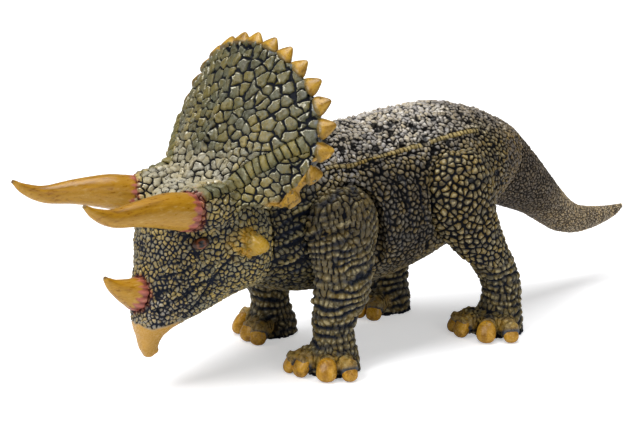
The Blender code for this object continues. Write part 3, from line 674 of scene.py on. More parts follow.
def blend_marks(skin, rows):
    """Blend scale size, groove depth, flatness and tints from the landmarks."""
    marks = [(place, *row[:4]) for row in rows for place in row[4:]]
    folded = skin.folded() + noises(skin.points, 6, 40) * 2
    gaps = np.array([np.linalg.norm(folded - np.array(m[0], float), axis=1) for m in marks])
    weights = 1 / (gaps + 2) ** NEARNESS
    weights /= weights.sum(axis=0)
    skin.size, skin.depth, skin.flat = (
        sum(w * m[k] for w, m in zip(weights, marks)) for k in (1, 2, 3)
    )
    for k, name in enumerate(TINTS):
        skin.tints[name] = sum(
            w[:, None] * srgb(PALETTES[m[4]][k]) for w, m in zip(weights, marks)
        )


def carve_scales(skin, seed, places=None):
    """Cut scales into a skin: flat plates at flatness 1, round beads at 0."""
    base = skin.points if places is None else places
    places = base + noises(base, 2.2, seed) * WARP
    border, away, owner = skin.scales(skin.size, places, seed)
    middle = np.linalg.norm(away, axis=1)
    # How far each point lies towards the light from its scale's middle.
    lit = step(-0.3, 0.7, away @ LIGHT_SIDE / np.maximum(middle, 0.1))
    size, flat = skin.size, skin.flat
    border = border + skin.noise(1.1, seed + 5) * 0.16 + skin.noise(5, seed + 6) * 0.10
    groove = size * (0.11 - 0.05 * flat) + 0.07
    plateau = step(groove * 0.35, groove * 2.1, border)
    dome = np.sqrt(np.clip(1 - (middle / (0.62 * size)) ** 2, 0, 1))
    skin.relief = np.clip(plateau * (flat + (1 - flat) * dome), 0, 1)
    ring = step(groove, groove * 1.6, border) * (1 - step(groove * 1.8, groove * 2.8, border))
    top = step(0.75, 1.0, dome * plateau)
    # Pale edge paint: on flat plates a ring at the edge, much stronger on the side towards the light, a painted
    # highlight; on round beads the tops, drybrush and painted highlight.
    skin.high = flat * ring * (0.4 + 1.3 * lit) + (1 - flat) * top * 0.9
    skin.cell = numbered(owner, seed, 1, 2)
    own = np.repeat(owner[:, None], 3, axis=1) * 7.3
    lean = sum(noise(own, 5, seed + k) * noise(base, 3.0, seed + k + 4) for k in (8, 9)) * 0.5
    skin.lift = -skin.depth * (1 - skin.relief)
    skin.lift += skin.depth * (0.4 * (skin.cell - 0.75) + 0.4 * lean + 0.2 * flat * dome) * plateau
    skin.lift += skin.noise(1.1, seed + 14) * 0.05


# Head

FRILL_MIDDLE = np.array((0, -92.9, 91.98))
FRILL_HALF_WIDTH = 46.25
FRILL_HEIGHT = 43.5
FRILL_LEAN = math.radians(30.7)
FRILL_REACH = math.radians(109)
FRILL_THICK = 4.5
FRILL_SWEEP = 0.36
LOW_SWEEP = 0.9
LOW_NARROWING = 0.75
BROW_HORN = (19.11, -111.45, 76.0)
NOSE_HORN = (0, -122.58, 41.13)


def frill_point(across, up, depth):
    """A point of the frill, from its place in shares of the rim's size and its depth."""
    low = (math.hypot(across, up) - up) / 2
    x = FRILL_HALF_WIDTH * across * (1 - LOW_NARROWING * low**4)
    rise = FRILL_HEIGHT * up
    sweep = FRILL_SWEEP * across * x * (1 + LOW_SWEEP * low * low)
    y = FRILL_MIDDLE[1] + rise * math.tan(FRILL_LEAN) + sweep + depth * math.cos(FRILL_LEAN)
    return np.array((x, y, FRILL_MIDDLE[2] + rise - depth * math.sin(FRILL_LEAN)))


def frill_shares(points):
    """For each point its share of the frill's reach, its height share and its depth."""
    x, y, z = points.T
    depth = np.zeros(len(points))
    across = x / FRILL_HALF_WIDTH
    for _ in range(8):
        up = (z + depth * math.sin(FRILL_LEAN) - FRILL_MIDDLE[2]) / FRILL_HEIGHT
        low = np.clip((np.hypot(across, up) - up) / 2, 0, 1)
        across = x / (FRILL_HALF_WIDTH * (1 - LOW_NARROWING * low**4))
        sweep = FRILL_SWEEP * across * x * (1 + LOW_SWEEP * low * low)
        front = FRILL_MIDDLE[1] + FRILL_HEIGHT * up * math.tan(FRILL_LEAN) + sweep
        depth = np.clip((y - front) / math.cos(FRILL_LEAN), -30, 30)
    return np.hypot(across, up), up, depth


BROW_RIDGE = (
    (22.2, -108.2, 82.8), (22.8, -101.7, 83.9), (22.9, -93.5, 86.2), (26.3, -87.6, 90.4),
    (30.4, -83.5, 93.3), (34.5, -79.4, 96.5), (37.4, -76.8, 98.6), (41.1, -72.4, 101.3),
)
LIP = (
    (8.6, -114, 30.5), (11.6, -107.6, 32.5), (14.4, -104.2, 37.5), (17.9, -101.3, 45),
    (21.1, -97.7, 52), (23.5, -93.2, 56.1), (26.6, -87.8, 55.9),
)
LIP_FOLD = ((12.5, -108.5, 36), (15.5, -106, 41), (19, -103, 48), (21.5, -99, 55))
UPPER_LID = ((17.4, -110.8, 62.8), (19.0, -108.6, 65.4), (20.4, -106.2, 65.9), (21.5, -103.6, 64.2))
LOWER_LID = ((17.4, -110.8, 62.2), (19.1, -108.4, 60.6), (20.4, -106.0, 61.2), (21.5, -103.4, 63.4))
BROW_FOLD = ((16.5, -112, 65), (19.5, -109, 67.5), (22.3, -104.8, 66.8), (24, -100, 63.5))
EYE_FOLD = ((17.5, -110.6, 59.6), (20, -107, 58.4), (22.6, -102.5, 59.2), (24.5, -98, 61))
JUGAL_AXIS = ((25, -89.8, 60.6), (33.6, -85.5, 61))
NOSTRIL = (10.1, -119.6, 36.2)


def flatten_spikes(skin, share, up, depth):
    """Draw the CAD spikes' roots back to the frill's front, and the lowest spikes onto the rim."""
    on_rim = (share > 0.88) & (share < 1.3) & (skin.points[:, 2] > 74) & (depth < 9)
    proud = np.where(on_rim, np.clip(-0.1 - depth, 0, 5), 0)
    back = np.array((0, math.cos(FRILL_LEAN), -math.sin(FRILL_LEAN)))
    skin.points += proud[:, None] * back
    pull = 0.9 * step(92, 88, skin.points[:, 2])
    for i in np.flatnonzero(on_rim & (share > 1) & (pull > 0)):
        shrink = (share[i] - pull[i] * (share[i] - 1)) / share[i]
        across = math.copysign(math.sqrt(max(share[i]**2 - up[i]**2, 0)), skin.points[i, 0])
        skin.points[i] = frill_point(across * shrink, up[i] * shrink, max(depth[i], -0.1))
    return on_rim & (share > 1.01)


def dress_head(skin):
    share, up, depth = frill_shares(skin.points)
    tips = flatten_spikes(skin, share, up, depth)
    front = step(2.2, 1.2, depth) * step(-6, -3, depth) * step(0.2, 0.4, share)
    on_frill = front * step(70, 84, skin.points[:, 2])
    away = skin.points - FRILL_MIDDLE
    reach = np.linalg.norm(away * (1, 0, 1), axis=1)
    squeeze = 0.36 * np.maximum(reach - 27, 0) * on_frill
    places = skin.points - away * (1, 0, 1) / np.maximum(reach, 1)[:, None] * squeeze[:, None]
    carve_scales(skin, 3, places)
    side = skin.folded()
    x, y, z = side.T
    skin.bricks(BROW_RIDGE, 3.4, 3.8, "brow", 1.3, 0.7, 0.35)
    ragged = skin.noise(1.6, 33)
    rim = step(0.975, 1.0, share + ragged * 0.015) * (depth < 8) * (skin.points[:, 2] > 78)
    skin.tint(rim * step(-0.3, 0.3, ragged), "rim")
    low_tips = tips | ((share > 0.985) & (z < 86) & (z > 74) & (depth < 5))
    skin.bare(low_tips * 1.0, "spike", 0.0, -0.9 * step(88, 92, z))
    low_edge = step(80, 78, z + ragged * 0.8) * step(74, 75, z)
    low_edge *= step(24, 28, x) * step(-88, -84, y) * (depth < 3)
    skin.tint(low_edge, "spike")
    skin.relief += low_edge * 0.6 * (1 - skin.relief)
    crown = step(-0.3, 0.1, -up) * step(0.5, 0.4, share) * step(74, 80, z)
    skin.warm = 1 - 0.7 * crown
    # A painted highlight on the raised plates of the crown, the top of the head, where the light falls.
    skin.high += 0.15 * crown * step(0.7, 0.95, skin.relief)
    skin.warm *= 1 - np.maximum(low_tips, low_edge)
    skin.crease(LIP, 0.9, 1.0)
    skin.ridge(LIP_FOLD, 1.1, 0.6, 0.4)
    skin.crease(BROW_FOLD, 0.7, 0.6)
    skin.crease(EYE_FOLD, 0.7, 0.5)
    socket = np.linalg.norm((side - (20.2, -106.7, 63.1)) * (1, 1, 1.5), axis=1)
    skin.lift += step(4.4, 2.8, socket) * (-0.9 - skin.lift)
    skin.tint(step(5.0, 3.0, socket) * 0.8, "fold")
    skin.ridge(UPPER_LID, 0.7, 1.0, 0.3)
    skin.ridge(LOWER_LID, 0.65, 0.8, 0.3)
    wrinkle = z * 0.8 - y * 0.45 + noise(side, 5, 21) * 1.6
    cheek = step(92, 104, -y) * step(62, 52, z) * step(30, 36, z)
    skin.bands(wrinkle, 4.4, 0.26, cheek * step(6, 10, x) * 0.8, 0.4, 0.6)
    broken = skin.noise(1.1, 34) * 0.5 + skin.noise(2.4, 35) * 0.7
    face = step(78, 72, z)
    skin.relief *= 1 - 0.65 * step(0.18, 0.55, broken) * face
    skin.high *= 1 - step(0.1, 0.4, broken) * face
    gap, along, _ = along_line(side, JUGAL_AXIS)
    ragged = noise(side, 2.2, 8)
    cone = step(-0.6, 1.0, along + ragged * 0.8) * step(8.5, 7.0, gap)
    skin.tint(cone, "gold")
    tip = step(3.0, 5.6, along + ragged * 1.4 - 0.10 * (z - 61)) * step(7.5, 6.5, gap)
    skin.bare(tip, "ochre", 0.7, 0.4)
    skin.relief += cone * 0.4 * (1 - skin.relief)
    reach = 2.0 * step(3, 9, along) * step(7.5, 5.5, gap)
    skin.points[:, 0] += reach * np.sign(skin.points[:, 0])
    line = 28.8 + 0.9 * np.sin(x * 0.7) + noise(side, 3, 5) * 0.6
    beak = step(line + 0.4, line - 0.4, z) * step(103, 106, -y)
    skin.bare(beak, "beak", 0.7, -0.1)
    skin.lift += beak * 1.0 * step(24, 18.5, z)
    nub = np.linalg.norm(side - (1.2, -116.6, 17.4), axis=1)
    skin.lift += 1.0 * step(2.2, 0.6, nub)
    for hand in (1, -1):
        skin.pit(np.array(NOSTRIL) * (hand, 1, 1), 1.1, 0.5)
    for base, hand, radius in ((BROW_HORN, 1, 7.6), (BROW_HORN, -1, 7.6), (NOSE_HORN, 1, 6.6)):
        off = skin.points - np.array(base) * (hand, 1, 1)
        ring = np.linalg.norm(off * (1, 0, 1), axis=1)
        near = step(radius + 1.3, radius + 0.2, ring + skin.noise(1.4, 31) * 0.9)
        skin.tint(near * step(5, 3, abs(off[:, 1])) * 0.8, "pink")
    skin.fine += 0.25 * face * (1 - cone) * (1 - beak)


# Torso

CRESTS = (
    ((20.8, -46, 84.0), (21.8, -41.5, 84.5), (23.1, -34.8, 84.2), (23.4, -27.3, 84.9),
     (23.6, -19.3, 86.0), (23.6, -8.4, 87.2), (23.9, 4, 88.0)),
    ((23.6, 8.6, 88.7), (22.9, 16, 89.3), (22.4, 24, 89.7), (21.6, 32, 89.9), (20.6, 39.5, 89.4)),
)
PITS = ((29.7, -13.3, 77.3), (16.2, 5.9, 94.3), (13.8, 19, 96.3), (14.7, 27, 95.9),
        (21.5, 7.4, 90.2), (13, -11, 94.6), (11.7, -3.2, 96), (24.2, 18.2, 87.5),
        (27.7, 45.3, 70.5))
THIGH_PITS = ((39.9, 18.2, 73.3), (38.5, 33.5, 75.5))
FLANK_CREASE = ((25.8, 10.4, 86), (28.5, 3, 80), (30.5, 0.5, 70), (31, 0, 60), (30, 2, 50), (27, 6, 40))
FLANK_FOLDS = (
    ((27, -22, 84), (31, -16, 76), (32.5, -12, 66), (32, -10, 54)),
    ((30, -6, 82), (32.5, -4, 72), (33, -4, 60), (31, -3, 48)),
)
NECK_FOLDS = (
    ((22, -62, 69), (24.1, -56.4, 71.4), (28.4, -53.7, 73.8)),
    ((22, -67, 58), (24.7, -62, 60.1), (28, -57, 62)),
    ((20, -68, 48), (24, -60, 51), (27, -55, 54)),
)


def dress_torso(skin):
    carve_scales(skin, 5)
    side = skin.folded()
    x, y, z = side.T
    top = step(82, 90, z)
    nodules = skin.noise(1.4, 61) * 0.5 + skin.noise(2.6, 62) * 0.6
    skin.warm = 1 - 0.6 * top
    skin.lift += 0.75 * nodules * top
    skin.relief *= 1 - 0.85 * step(0.08, 0.4, -nodules) * top
    # Pale edge paint on the nodules along the top of the back: drybrush and a painted highlight where the top
    # light falls.
    skin.high = skin.high * (1 - 0.4 * top) + 0.7 * step(0.1, 0.5, nodules) * top
    for crest in CRESTS:
        skin.crease(np.array(crest) + (1.4, 0, -2.0), 0.8, 0.5)
        skin.bricks(crest, 2.1, 1.3, "crest", 0.5, 0.35, 0.8)
    skin.crease(FLANK_CREASE, 1.4, 1.0)
    for fold in FLANK_FOLDS:
        skin.crease(fold, 0.9, 0.6)
    for place in PITS:
        skin.pit(place, 1.8, 1.2)
        skin.pit((-place[0] - 2, place[1] + 5, place[2]), 1.8, 1.2)
    neck = step(-50, -60, y) * step(8, 14, x)
    for fold in NECK_FOLDS:
        skin.fold(fold, 2.6, 1.5, 0.8, (1.2, 0.9, 0.6, (0.4, 1, 1)))
    wrinkle = z - 0.4 * y + noise(side, 5, 22) * 1.5
    skin.bands(wrinkle, 4.6, 0.34, neck * 0.9, 0.45, 0.6)
    field = y + 0.25 * z + noise(side, 6, 25) * 2.0
    flank = step(82, 76, z) * step(-30, -24, y) * step(44, 50, z)
    skin.bands(field, 6.5, 0.12, flank * step(20, 25, x) * 0.6, 0.35, 0.6)


def dress_tail(skin):
    carve_scales(skin, 7)
    skin.warm -= 0.6
    skin.fine += 0.5
    rings = skin.points[:, 1] * 0.85 - skin.points[:, 2] * 0.5 + skin.noise(6, 23) * 1.5
    skin.bands(rings, 5.2, 0.12, step(85, 100, skin.points[:, 1]) * 0.5, 0.2)


# Legs

TOE_TURNS = {"front": ((-29, 2.00), (-7, 1.76), (40, 1.66), (77, 1.72)),
             "hind": ((-33, 2.02), (-9, 2.00), (31, 1.96), (66, 1.88))}
LEG_DEPTH = {"front": 10.0, "hind": 10.5}
FEET = {
    "front_leg_left": (26.0, -45.9, 0), "front_leg_right": (-29.2, -35.3, -4),
    "hind_leg_left": (30.8, 44.1, 0), "hind_leg_right": (-24.7, 27.3, 0),
}


def toes(node):
    """Tip and heading of each toe of a leg."""
    end = node.split("_")[0]
    x, y, turned = FEET[node]
    side = 1 if x > 0 else -1
    for turn, reach in TOE_TURNS[end]:
        angle = math.radians(turn + turned)
        ahead = np.array((side * math.sin(angle), -math.cos(angle), 0))
        yield np.array((x, y, 0)) + ahead * LEG_DEPTH[end] * reach, ahead


ROW_PITCH = {"front": 3.7, "hind": 3.4}
LEG_FOLDS = (
    ((27, -58, 70.6), (28.4, -53.7, 73.8), (30.8, -48.9, 75.6)),
    ((28, -60, 61), (33.1, -55.9, 63.6), (36.9, -46.3, 65.3)),
)
NAIL_SHARES = (0.94, 1.0, 1.10, 0.86)
NAIL_SIZE = (3.8, 2.7, 4.6)


def nails(node):
    """Middle, directions and radii of each nail of a leg."""
    for size, (tip, ahead) in zip(NAIL_SHARES, toes(node)):
        across = np.array((-ahead[1], ahead[0], 0))
        lean = np.array((0, 0, 1)) * 0.90 - ahead * 0.44
        lean /= np.linalg.norm(lean)
        front = np.cross(across, lean)
        front *= np.sign(front @ ahead)
        middle = tip - ahead * (1.0 + 1.5 * size) + np.array((0, 0, 4.3 * size + 0.1))
        yield middle, np.array((across, front, lean)), np.array(NAIL_SIZE) * size


def dress_leg(skin):
    end = skin.node.split("_")[0]
    pitch = ROW_PITCH[end]
    x, y, z = skin.points.T
    rows_below = 90 if end == "front" else 33
    slope = 0.06 + 0.36 * step(38, 60, z)
    field = z - slope * (y - FEET[skin.node][1])
    field = field + skin.noise(9, 24) * 2.4 + skin.noise(4, 28) * 0.9
    in_rows = z < rows_below
    number = np.where(in_rows, np.floor(field / pitch), 0)
    inside = np.where(in_rows, field - (number + 0.5) * pitch, 0)
    places = skin.points.copy()
    places[:, :2] *= np.where(in_rows, 0.8, 1)[:, None]
    places[:, 2] += number * 30 - 0.55 * inside
    carve_scales(skin, 9 if end == "front" else 13, places)
    strength = 1 - 0.35 * step(46, 60, z) if end == "front" else step(36, 30, z)
    patchy = strength * np.clip(0.72 + 0.8 * skin.noise(6, 26), 0.1, 1)
    skin.relief += patchy * 0.45 * (1 - skin.relief)
    crown = np.where(in_rows, 1 - (2 * inside / pitch) ** 2, 0.5)
    skin.lift += patchy * (1.0 * crown - 0.6)
    # Pale edge paint along the crowns of the rows: drybrush and painted highlight.
    skin.high += patchy * 0.5 * step(0.6, 1.0, crown) * step(0.5, 0.9, skin.relief)
    skin.bands(field, pitch, 0.44, patchy, 0.25, 0.65)
    if end == "hind":
        for x, y, z in THIGH_PITS:
            skin.pit((math.copysign(x, FEET[skin.node][0]), y, z), 1.6, 1.0)
        wrinkle = skin.points[:, 2] - 0.3 * skin.points[:, 1] + skin.noise(7, 27) * 2
        skin.bands(wrinkle, 9.0, 0.12, (1 - strength) * 0.5, 0.4, 0.5)
    else:
        for fold in LEG_FOLDS:
            skin.fold(fold, 2.4, 1.1, 0.6, (1.1, 0.6, 0.6, (0.5, 1, 1)))
    for (tip, ahead), (middle, turn, radii) in zip(toes(skin.node), nails(skin.node)):
        away = skin.points - tip - np.array((0, 0, 4))
        along = away @ ahead
        off = away - along[:, None] * ahead
        across = np.linalg.norm(off, axis=1)
        near = step(-14, -11, along) * step(7.0, 5.4, across) * step(3.0, 5.0, skin.points[:, 2])
        arc = along + 0.05 * across**2
        wave = abs((arc / 1.55) % 1 - 0.5) * 2
        press = step(0.40, 0.8, wave) * step(-4.5, -7.0, along)
        skin.tint(near * 0.6, "gold")
        skin.relief += near * ((1 - press) * 0.85 - skin.relief)
        skin.high += near * ((1 - press) * 0.7 - skin.high)
        skin.lift += near * (-0.5 * press + 0.1 - skin.lift)
        inside = (skin.points - middle) @ turn.T / (radii + 0.5)
        under = np.linalg.norm(inside, axis=1)
        ahead_of = step(-0.2, 0.3, inside[:, 1])
        skin.points -= (step(1.10, 0.85, under) * ahead_of * 1.5)[:, None] * turn[1]
        skin.lift += step(1.3, 1.0, under) * (-0.1 - skin.lift)
        skin.tint(step(1.3, 1.1, under) * step(0.6, 0.2, inside[:, 2]), "fold")
    # The bottom of each foot in dark fold colours with little relief: painted shade where the foot meets the
    # floor.
    sole = step(2.4, 0.9, skin.points[:, 2])
    skin.tint(sole, "fold")
    skin.relief *= 1 - 0.8 * sole


def shrunk(ring):
    """A ring drawn together, to close the end of a loft."""
    middle = np.asarray(ring).mean(axis=0)
    return middle + (ring - middle) * END_SHARE


def loft_faces(rings, count):
    """Four-sided faces between rings of points."""
    return [
        (r * count + i, r * count + (i + 1) % count, (r + 1) * count + (i + 1) % count, (r + 1) * count + i)
        for r in range(rings - 1) for i in range(count)
    ]


def painted(name, parts, material, body, replaced=None):
    """One object from (rings, colours) parts, each a closed loft whose colours lie on its points."""
    points, faces, colours = [], [], []
    for rings, tones in parts:
        start = sum(len(p) for p in points)
        rings = [shrunk(rings[0]), *rings, shrunk(rings[-1])]
        points.append(np.concatenate(rings))
        colours.append(np.concatenate([tones[0], *tones, tones[-1]]))
        faces += [tuple(start + k for k in face) for face in loft_faces(len(rings), len(rings[0]))]
    made = write_mesh(name, np.concatenate(points), faces)
    write_colours(made.data, "paint", np.concatenate(colours))
    work = bmesh.new()
    work.from_mesh(made.data)
    bmesh.ops.recalc_face_normals(work, faces=work.faces)
    work.to_mesh(made.data)
    work.free()
    made.data.materials.append(material)
    if replaced:
        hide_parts(replaced)
    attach(made, body)


END_SHARE = 0.001


def circle(count):
    """The turns round a ring, and their cosines and sines."""
    turn = np.arange(count) / count * math.tau
    return turn, np.cos(turn), np.sin(turn)


def oval(c, s, wide, tall):
    """Ways from the middle of an oval with these half axes."""
    return c[:, None] * wide + s[:, None] * tall


def round_places(c, s, girth, height):
    """Places round a ring, for its noise."""
    return np.stack([c * girth, s * girth, np.full(len(c), height)], axis=1)


def blend(one, two, share):
    """Colours from one to two by each point's share."""
    return one + (two - one) * share[:, None]


def unit(way):
    return way / np.linalg.norm(way)


# Horns: place along, rise and spread of the middle line in horn lengths, and its radius
BROW_ROWS = ((0.00, 0.000, 0.00, 1.00), (0.12, 0.030, 0.02, 1.00), (0.25, 0.055, 0.04, 0.93),
             (0.50, 0.080, 0.08, 0.68), (0.74, 0.090, 0.11, 0.48), (0.90, 0.150, 0.13, 0.30),
             (1.00, 0.225, 0.14, 0.10))
NOSE_ROWS = ((0.00, 0.00, 0.00, 1.00), (0.15, 0.05, 0.00, 1.00), (0.42, 0.17, 0.00, 0.78),
             (0.72, 0.34, 0.00, 0.48), (0.92, 0.52, 0.00, 0.24), (1.00, 0.62, 0.00, 0.10))
HORNS = (
    ("brow_horn_left", 1, BROW_HORN, 50.0, 7.2, BROW_ROWS),
    ("brow_horn_right", -1, BROW_HORN, 50.0, 7.2, BROW_ROWS),
    ("nose_horn", 0, NOSE_HORN, 15.5, 6.2, NOSE_ROWS),
)
HORN_SIDES = 80
HORN_STEPS = 16
COLLAR = 5.0
CRIMPS = 15
PLUG_SHARE = 0.62
PLUG_LENGTH = 4.5
PLUG = ((PLUG_SHARE * 0.9, -PLUG_LENGTH), (PLUG_SHARE, -PLUG_LENGTH * 0.8), (PLUG_SHARE, 0))


def smooth_rows(rows, steps):
    """Catmull-Rom rows through the given rows."""
    rows = np.array(rows, float)
    padded = np.vstack([2 * rows[0] - rows[1], rows, 2 * rows[-1] - rows[-2]])
    found = []
    for i in range(len(rows) - 1):
        p0, p1, p2, p3 = padded[i:i + 4]
        for t in np.linspace(0, 1, steps, endpoint=False):
            found.append(p1 + (p2 - p0) * t / 2 + (2 * p0 - 5 * p1 + 4 * p2 - p3) * t**2 / 2
                         + (3 * p1 - p0 - 3 * p2 + p3) * t**3 / 2)
    found.append(rows[-1])
    return np.array(found)


def build_horn(node, side, base, length, radius, rows):
    """A horn with a crimped pink root, on a plug in its socket."""
    rows = smooth_rows(rows, HORN_STEPS)
    bend = np.stack([side * rows[:, 2], -rows[:, 0], rows[:, 1]], axis=1) * length
    path = np.array(base) * (side or 1, 1, 1) + bend
    ahead = np.gradient(path, axis=0)
    ahead /= np.linalg.norm(ahead, axis=1)[:, None]
    out = unit(path[1] - path[0])
    across = np.cross(ahead, (0, 0, 1))
    across /= np.linalg.norm(across, axis=1)[:, None]
    upward = np.cross(across, ahead)
    turn, c, s = circle(HORN_SIDES)
    light, deep, pale, tip = (srgb(code) for code in ("a2740a", "764f06", "b3862a", "4e3c22"))
    rose, wine = srgb("b4685a"), srgb("74352f")
    gaps = np.linalg.norm(path - path[0], axis=1)
    rings = [
        path[0] + out * back + radius * share * oval(c, s, across[0], upward[0])
        for share, back in PLUG
    ]
    tones = [np.tile(wine, (HORN_SIDES, 1)) for _ in PLUG]
    for k, gap in enumerate(gaps):
        places = round_places(c, s, 7, gap * 0.22)
        streak = noise(places, 1.1, 51) * 0.6 + noise(places, 2.6, 52)
        wave = np.cos(turn * CRIMPS + noise(places, 3, 53) * 3)
        crimp = step(COLLAR * 1.25, COLLAR * 0.5, gap)
        fold = wave * crimp
        parting = np.exp(-(s / 0.07) ** 2) * (1 - crimp)
        swell = 1 + 0.012 * streak - 0.012 * parting + 0.035 * fold + 0.03 * crimp
        if k == 0:
            swell = swell * 0.93
        thick = radius * rows[k, 3] * swell[:, None]
        rings.append(path[k] + thick * oval(c, s, across[k], upward[k]))
        body = blend(light, deep, step(-0.2, 0.8, streak) * 0.6)
        body = blend(body, pale, step(0.25, -0.35, s + streak * 0.12))
        body = blend(body, tip, step(-0.9, -0.1, gap - gaps[-1] + streak * 0.4) * 0.8)
        edge = COLLAR * (0.72 + 0.22 * wave) + streak * 0.4
        crimson = blend(rose, wine, 0.5 - 0.5 * fold)
        tones.append(blend(body, crimson, step(edge + 0.9, edge - 0.5, gap)))
    painted(f"{node}_paint", [(rings, tones)], HORN_PAINT, "head", node)


# Spikes: place along and radius in shares
SPIKE_PROFILE = ((0.26, 0.60), (0.34, 0.98), (0.42, 1.04), (0.54, 0.96), (0.66, 0.80),
                 (0.78, 0.60), (0.88, 0.42), (0.96, 0.25), (1.00, 0.10))
SPIKE_COUNT = 19
SPIKE_ARC = 0.95
SPIKE_ROOT = 0.93
SPIKE_PROUD = 4.4
SPIKE_RADIUS = 4.5
SPIKE_FLATNESS = 0.60


def build_spikes():
    """The blunt cones round the frill's rim."""
    _, c, s = circle(28)
    light, deep, brown = (srgb(code) for code in ("ae8626", "7e5c16", "5c5030"))
    parts = []
    for i in range(SPIKE_COUNT):
        angle = FRILL_REACH * SPIKE_ARC * (2 * i / (SPIKE_COUNT - 1) - 1)
        way = np.array((math.sin(angle), math.cos(angle)))
        base = frill_point(*(way * SPIKE_ROOT), FRILL_THICK / 2)
        out = frill_point(*(way * (1 + SPIKE_PROUD / FRILL_HALF_WIDTH)), FRILL_THICK / 2) - base
        wide = unit(np.cross(unit(out), frill_point(*(way * SPIKE_ROOT), FRILL_THICK) - base))
        thick = np.cross(wide, unit(out))
        droop = 0.35 * math.sin(i * 2.3)
        rings, tones = [], []
        for along, share in smooth_rows(SPIKE_PROFILE, 3):
            rough = noise(round_places(c, s, 4, along * 6 + i * 20), 2.0, 71)
            size = SPIKE_RADIUS * share * (1 + 0.07 * rough)
            middle = base + out * along + wide * droop * along
            rings.append(middle + size[:, None] * oval(c, SPIKE_FLATNESS * s, wide, thick))
            body = blend(light, deep, step(-0.5, 0.9, rough))
            tones.append(blend(body, brown, step(0.50, 0.36, along + rough * 0.10) * 0.8))
        parts.append((rings, tones))
    painted("frill_spikes", parts, SPIKE_PAINT, "head")


def build_nails(node):
    """Blunt oval nails on the toes."""
    _, c, s = circle(36)
    light, deep, brown = (srgb(code) for code in ("c8962e", "9c6e1e", "6a4a22"))
    blunt_c, blunt_s = (np.sign(v) * abs(v) ** 0.80 for v in (c, s))
    parts = []
    for k, (middle, ways, radii) in enumerate(nails(node)):
        across, front, lean = (way * radius for way, radius in zip(ways, radii))
        rings, tones = [], []
        for level in np.linspace(-0.995, 0.995, 26):
            girth = (1 - abs(level) ** 2.6) ** 0.5 * (1 - 0.10 * level)
            ring = middle + lean * level + oval(blunt_c * girth, blunt_s * girth, across, front)
            ring[:, 2] = np.maximum(ring[:, 2], 0.3)
            rings.append(ring)
            rough = noise(round_places(c, s, 3, level * 4 + k * 9), 1.6, 81 + k)
            body = blend(light, deep, step(-0.2, 0.9, rough))
            # Brown on the back of each nail, where it meets the toe: painted shade.
            tones.append(blend(body, brown, step(-0.35, -0.8, s + rough * 0.15)))
        parts.append((rings, tones))
    painted(f"{node}_nails", parts, NAIL_PAINT, node)


EYE_MIDDLE = np.array((19.9, -106.9, 63.1))


def build_eyes():
    """Two dark eyes with reddish brown rims."""
    _, c, s = circle(32)
    red, black, brown = (srgb(code) for code in ("7a4426", "020202", "3a2416"))
    for label, side in (("left", 1), ("right", -1)):
        long = unit(np.array((1.7 * side, 4.0, 0.9)))
        out = np.array((0.88 * side, -0.45, 0.05))
        out = unit(out - long * (out @ long))
        tall = np.cross(out, long)
        rings, tones = [], []
        for level in np.linspace(-0.98, 0.995, 20):
            girth = math.sqrt(1 - level * level)
            middle = EYE_MIDDLE * (side, 1, 1) + out * level * 1.9
            rings.append(middle + girth * oval(c, s, long * 3.5, tall * 2.4))
            away = girth * np.sqrt((c * 1.5) ** 2 + s**2)
            body = blend(red, brown, step(0.75, 0.95, away))
            tones.append(blend(body, black, step(0.70, 0.52, away) * (level > 0)))
        painted(f"eye_{label}", [(rings, tones)], EYE_PAINT, "head")


HORN_PAINT = paint_material("ochre horn paint", 0.30, (1.0, 0.22, 1.0))
SPIKE_PAINT = paint_material("ochre spike paint", 0.30)
NAIL_PAINT = paint_material("ochre nail paint", 0.26)
EYE_PAINT = paint_material("eye paint", 0.16, rubbed=0.02)

FLOOR_GAP = 0.02
DRESS = {"torso": dress_torso, "head": dress_head, "tail": dress_tail}
for node, voxel, marks, pebble in (
    ("torso", 0.55, "torso", 1.1),
    ("head", 0.44, "head", 0.8),
    ("tail", 0.5, "tail", 0.8),
    ("front_leg_left", 0.48, "front_leg", 0.9),
    ("front_leg_right", 0.5, "front_leg", 0.9),
    ("hind_leg_left", 0.48, "hind_leg", 0.9),
    ("hind_leg_right", 0.5, "hind_leg", 0.9),
):
    skin = Skin(node, voxel)
    skin.smooth(14)
    blend_marks(skin, MARKS[marks])
    DRESS.get(node, dress_leg)(skin)
    skin.high = np.clip(skin.high, 0, 1)
    skin.raise_by(skin.lift)
    skin.points[:, 2] = np.maximum(skin.points[:, 2], FLOOR_GAP)
    made = write_mesh(f"{node}_skin", skin.points, skin.faces)
    for label in SKIN_VALUES:
        layer = made.data.attributes.new(label, "FLOAT", "POINT")
        layer.data.foreach_set("value", getattr(skin, label).astype(np.float32))
    for label, colours in skin.tints.items():
        write_colours(made.data, label, colours)
    made.data.materials.append(skin_material(f"{node} vinyl", pebble))
    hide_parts(node)
    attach(made, BODY_OF[node])

for horn in HORNS:
    build_horn(*horn)
build_spikes()
for node in FEET:
    build_nails(node)
build_eyes()


JOINT_WHITES = (0.62, 0.61, 0.58, 1), (0.72, 0.71, 0.68, 1)


def joint_material():
    """Plain white moulding with a faint grain."""
    s = Shader("joint plastic")
    grain = s.noise(2.0, 4, 0.6)
    s.put("Base Color", s.mix(grain, *JOINT_WHITES))
    s.put("Roughness", s.add(0.35, s.shift(grain, 0.2)))
    s.bump(grain, 0.05, 0.5)
    return s.material


joint_plastic = joint_material()
for node in NODES:
    if node.endswith(("_peg", "_washer")):
        NODES[node].data.materials.clear()
        NODES[node].data.materials.append(joint_plastic)


# Floor, light and camera

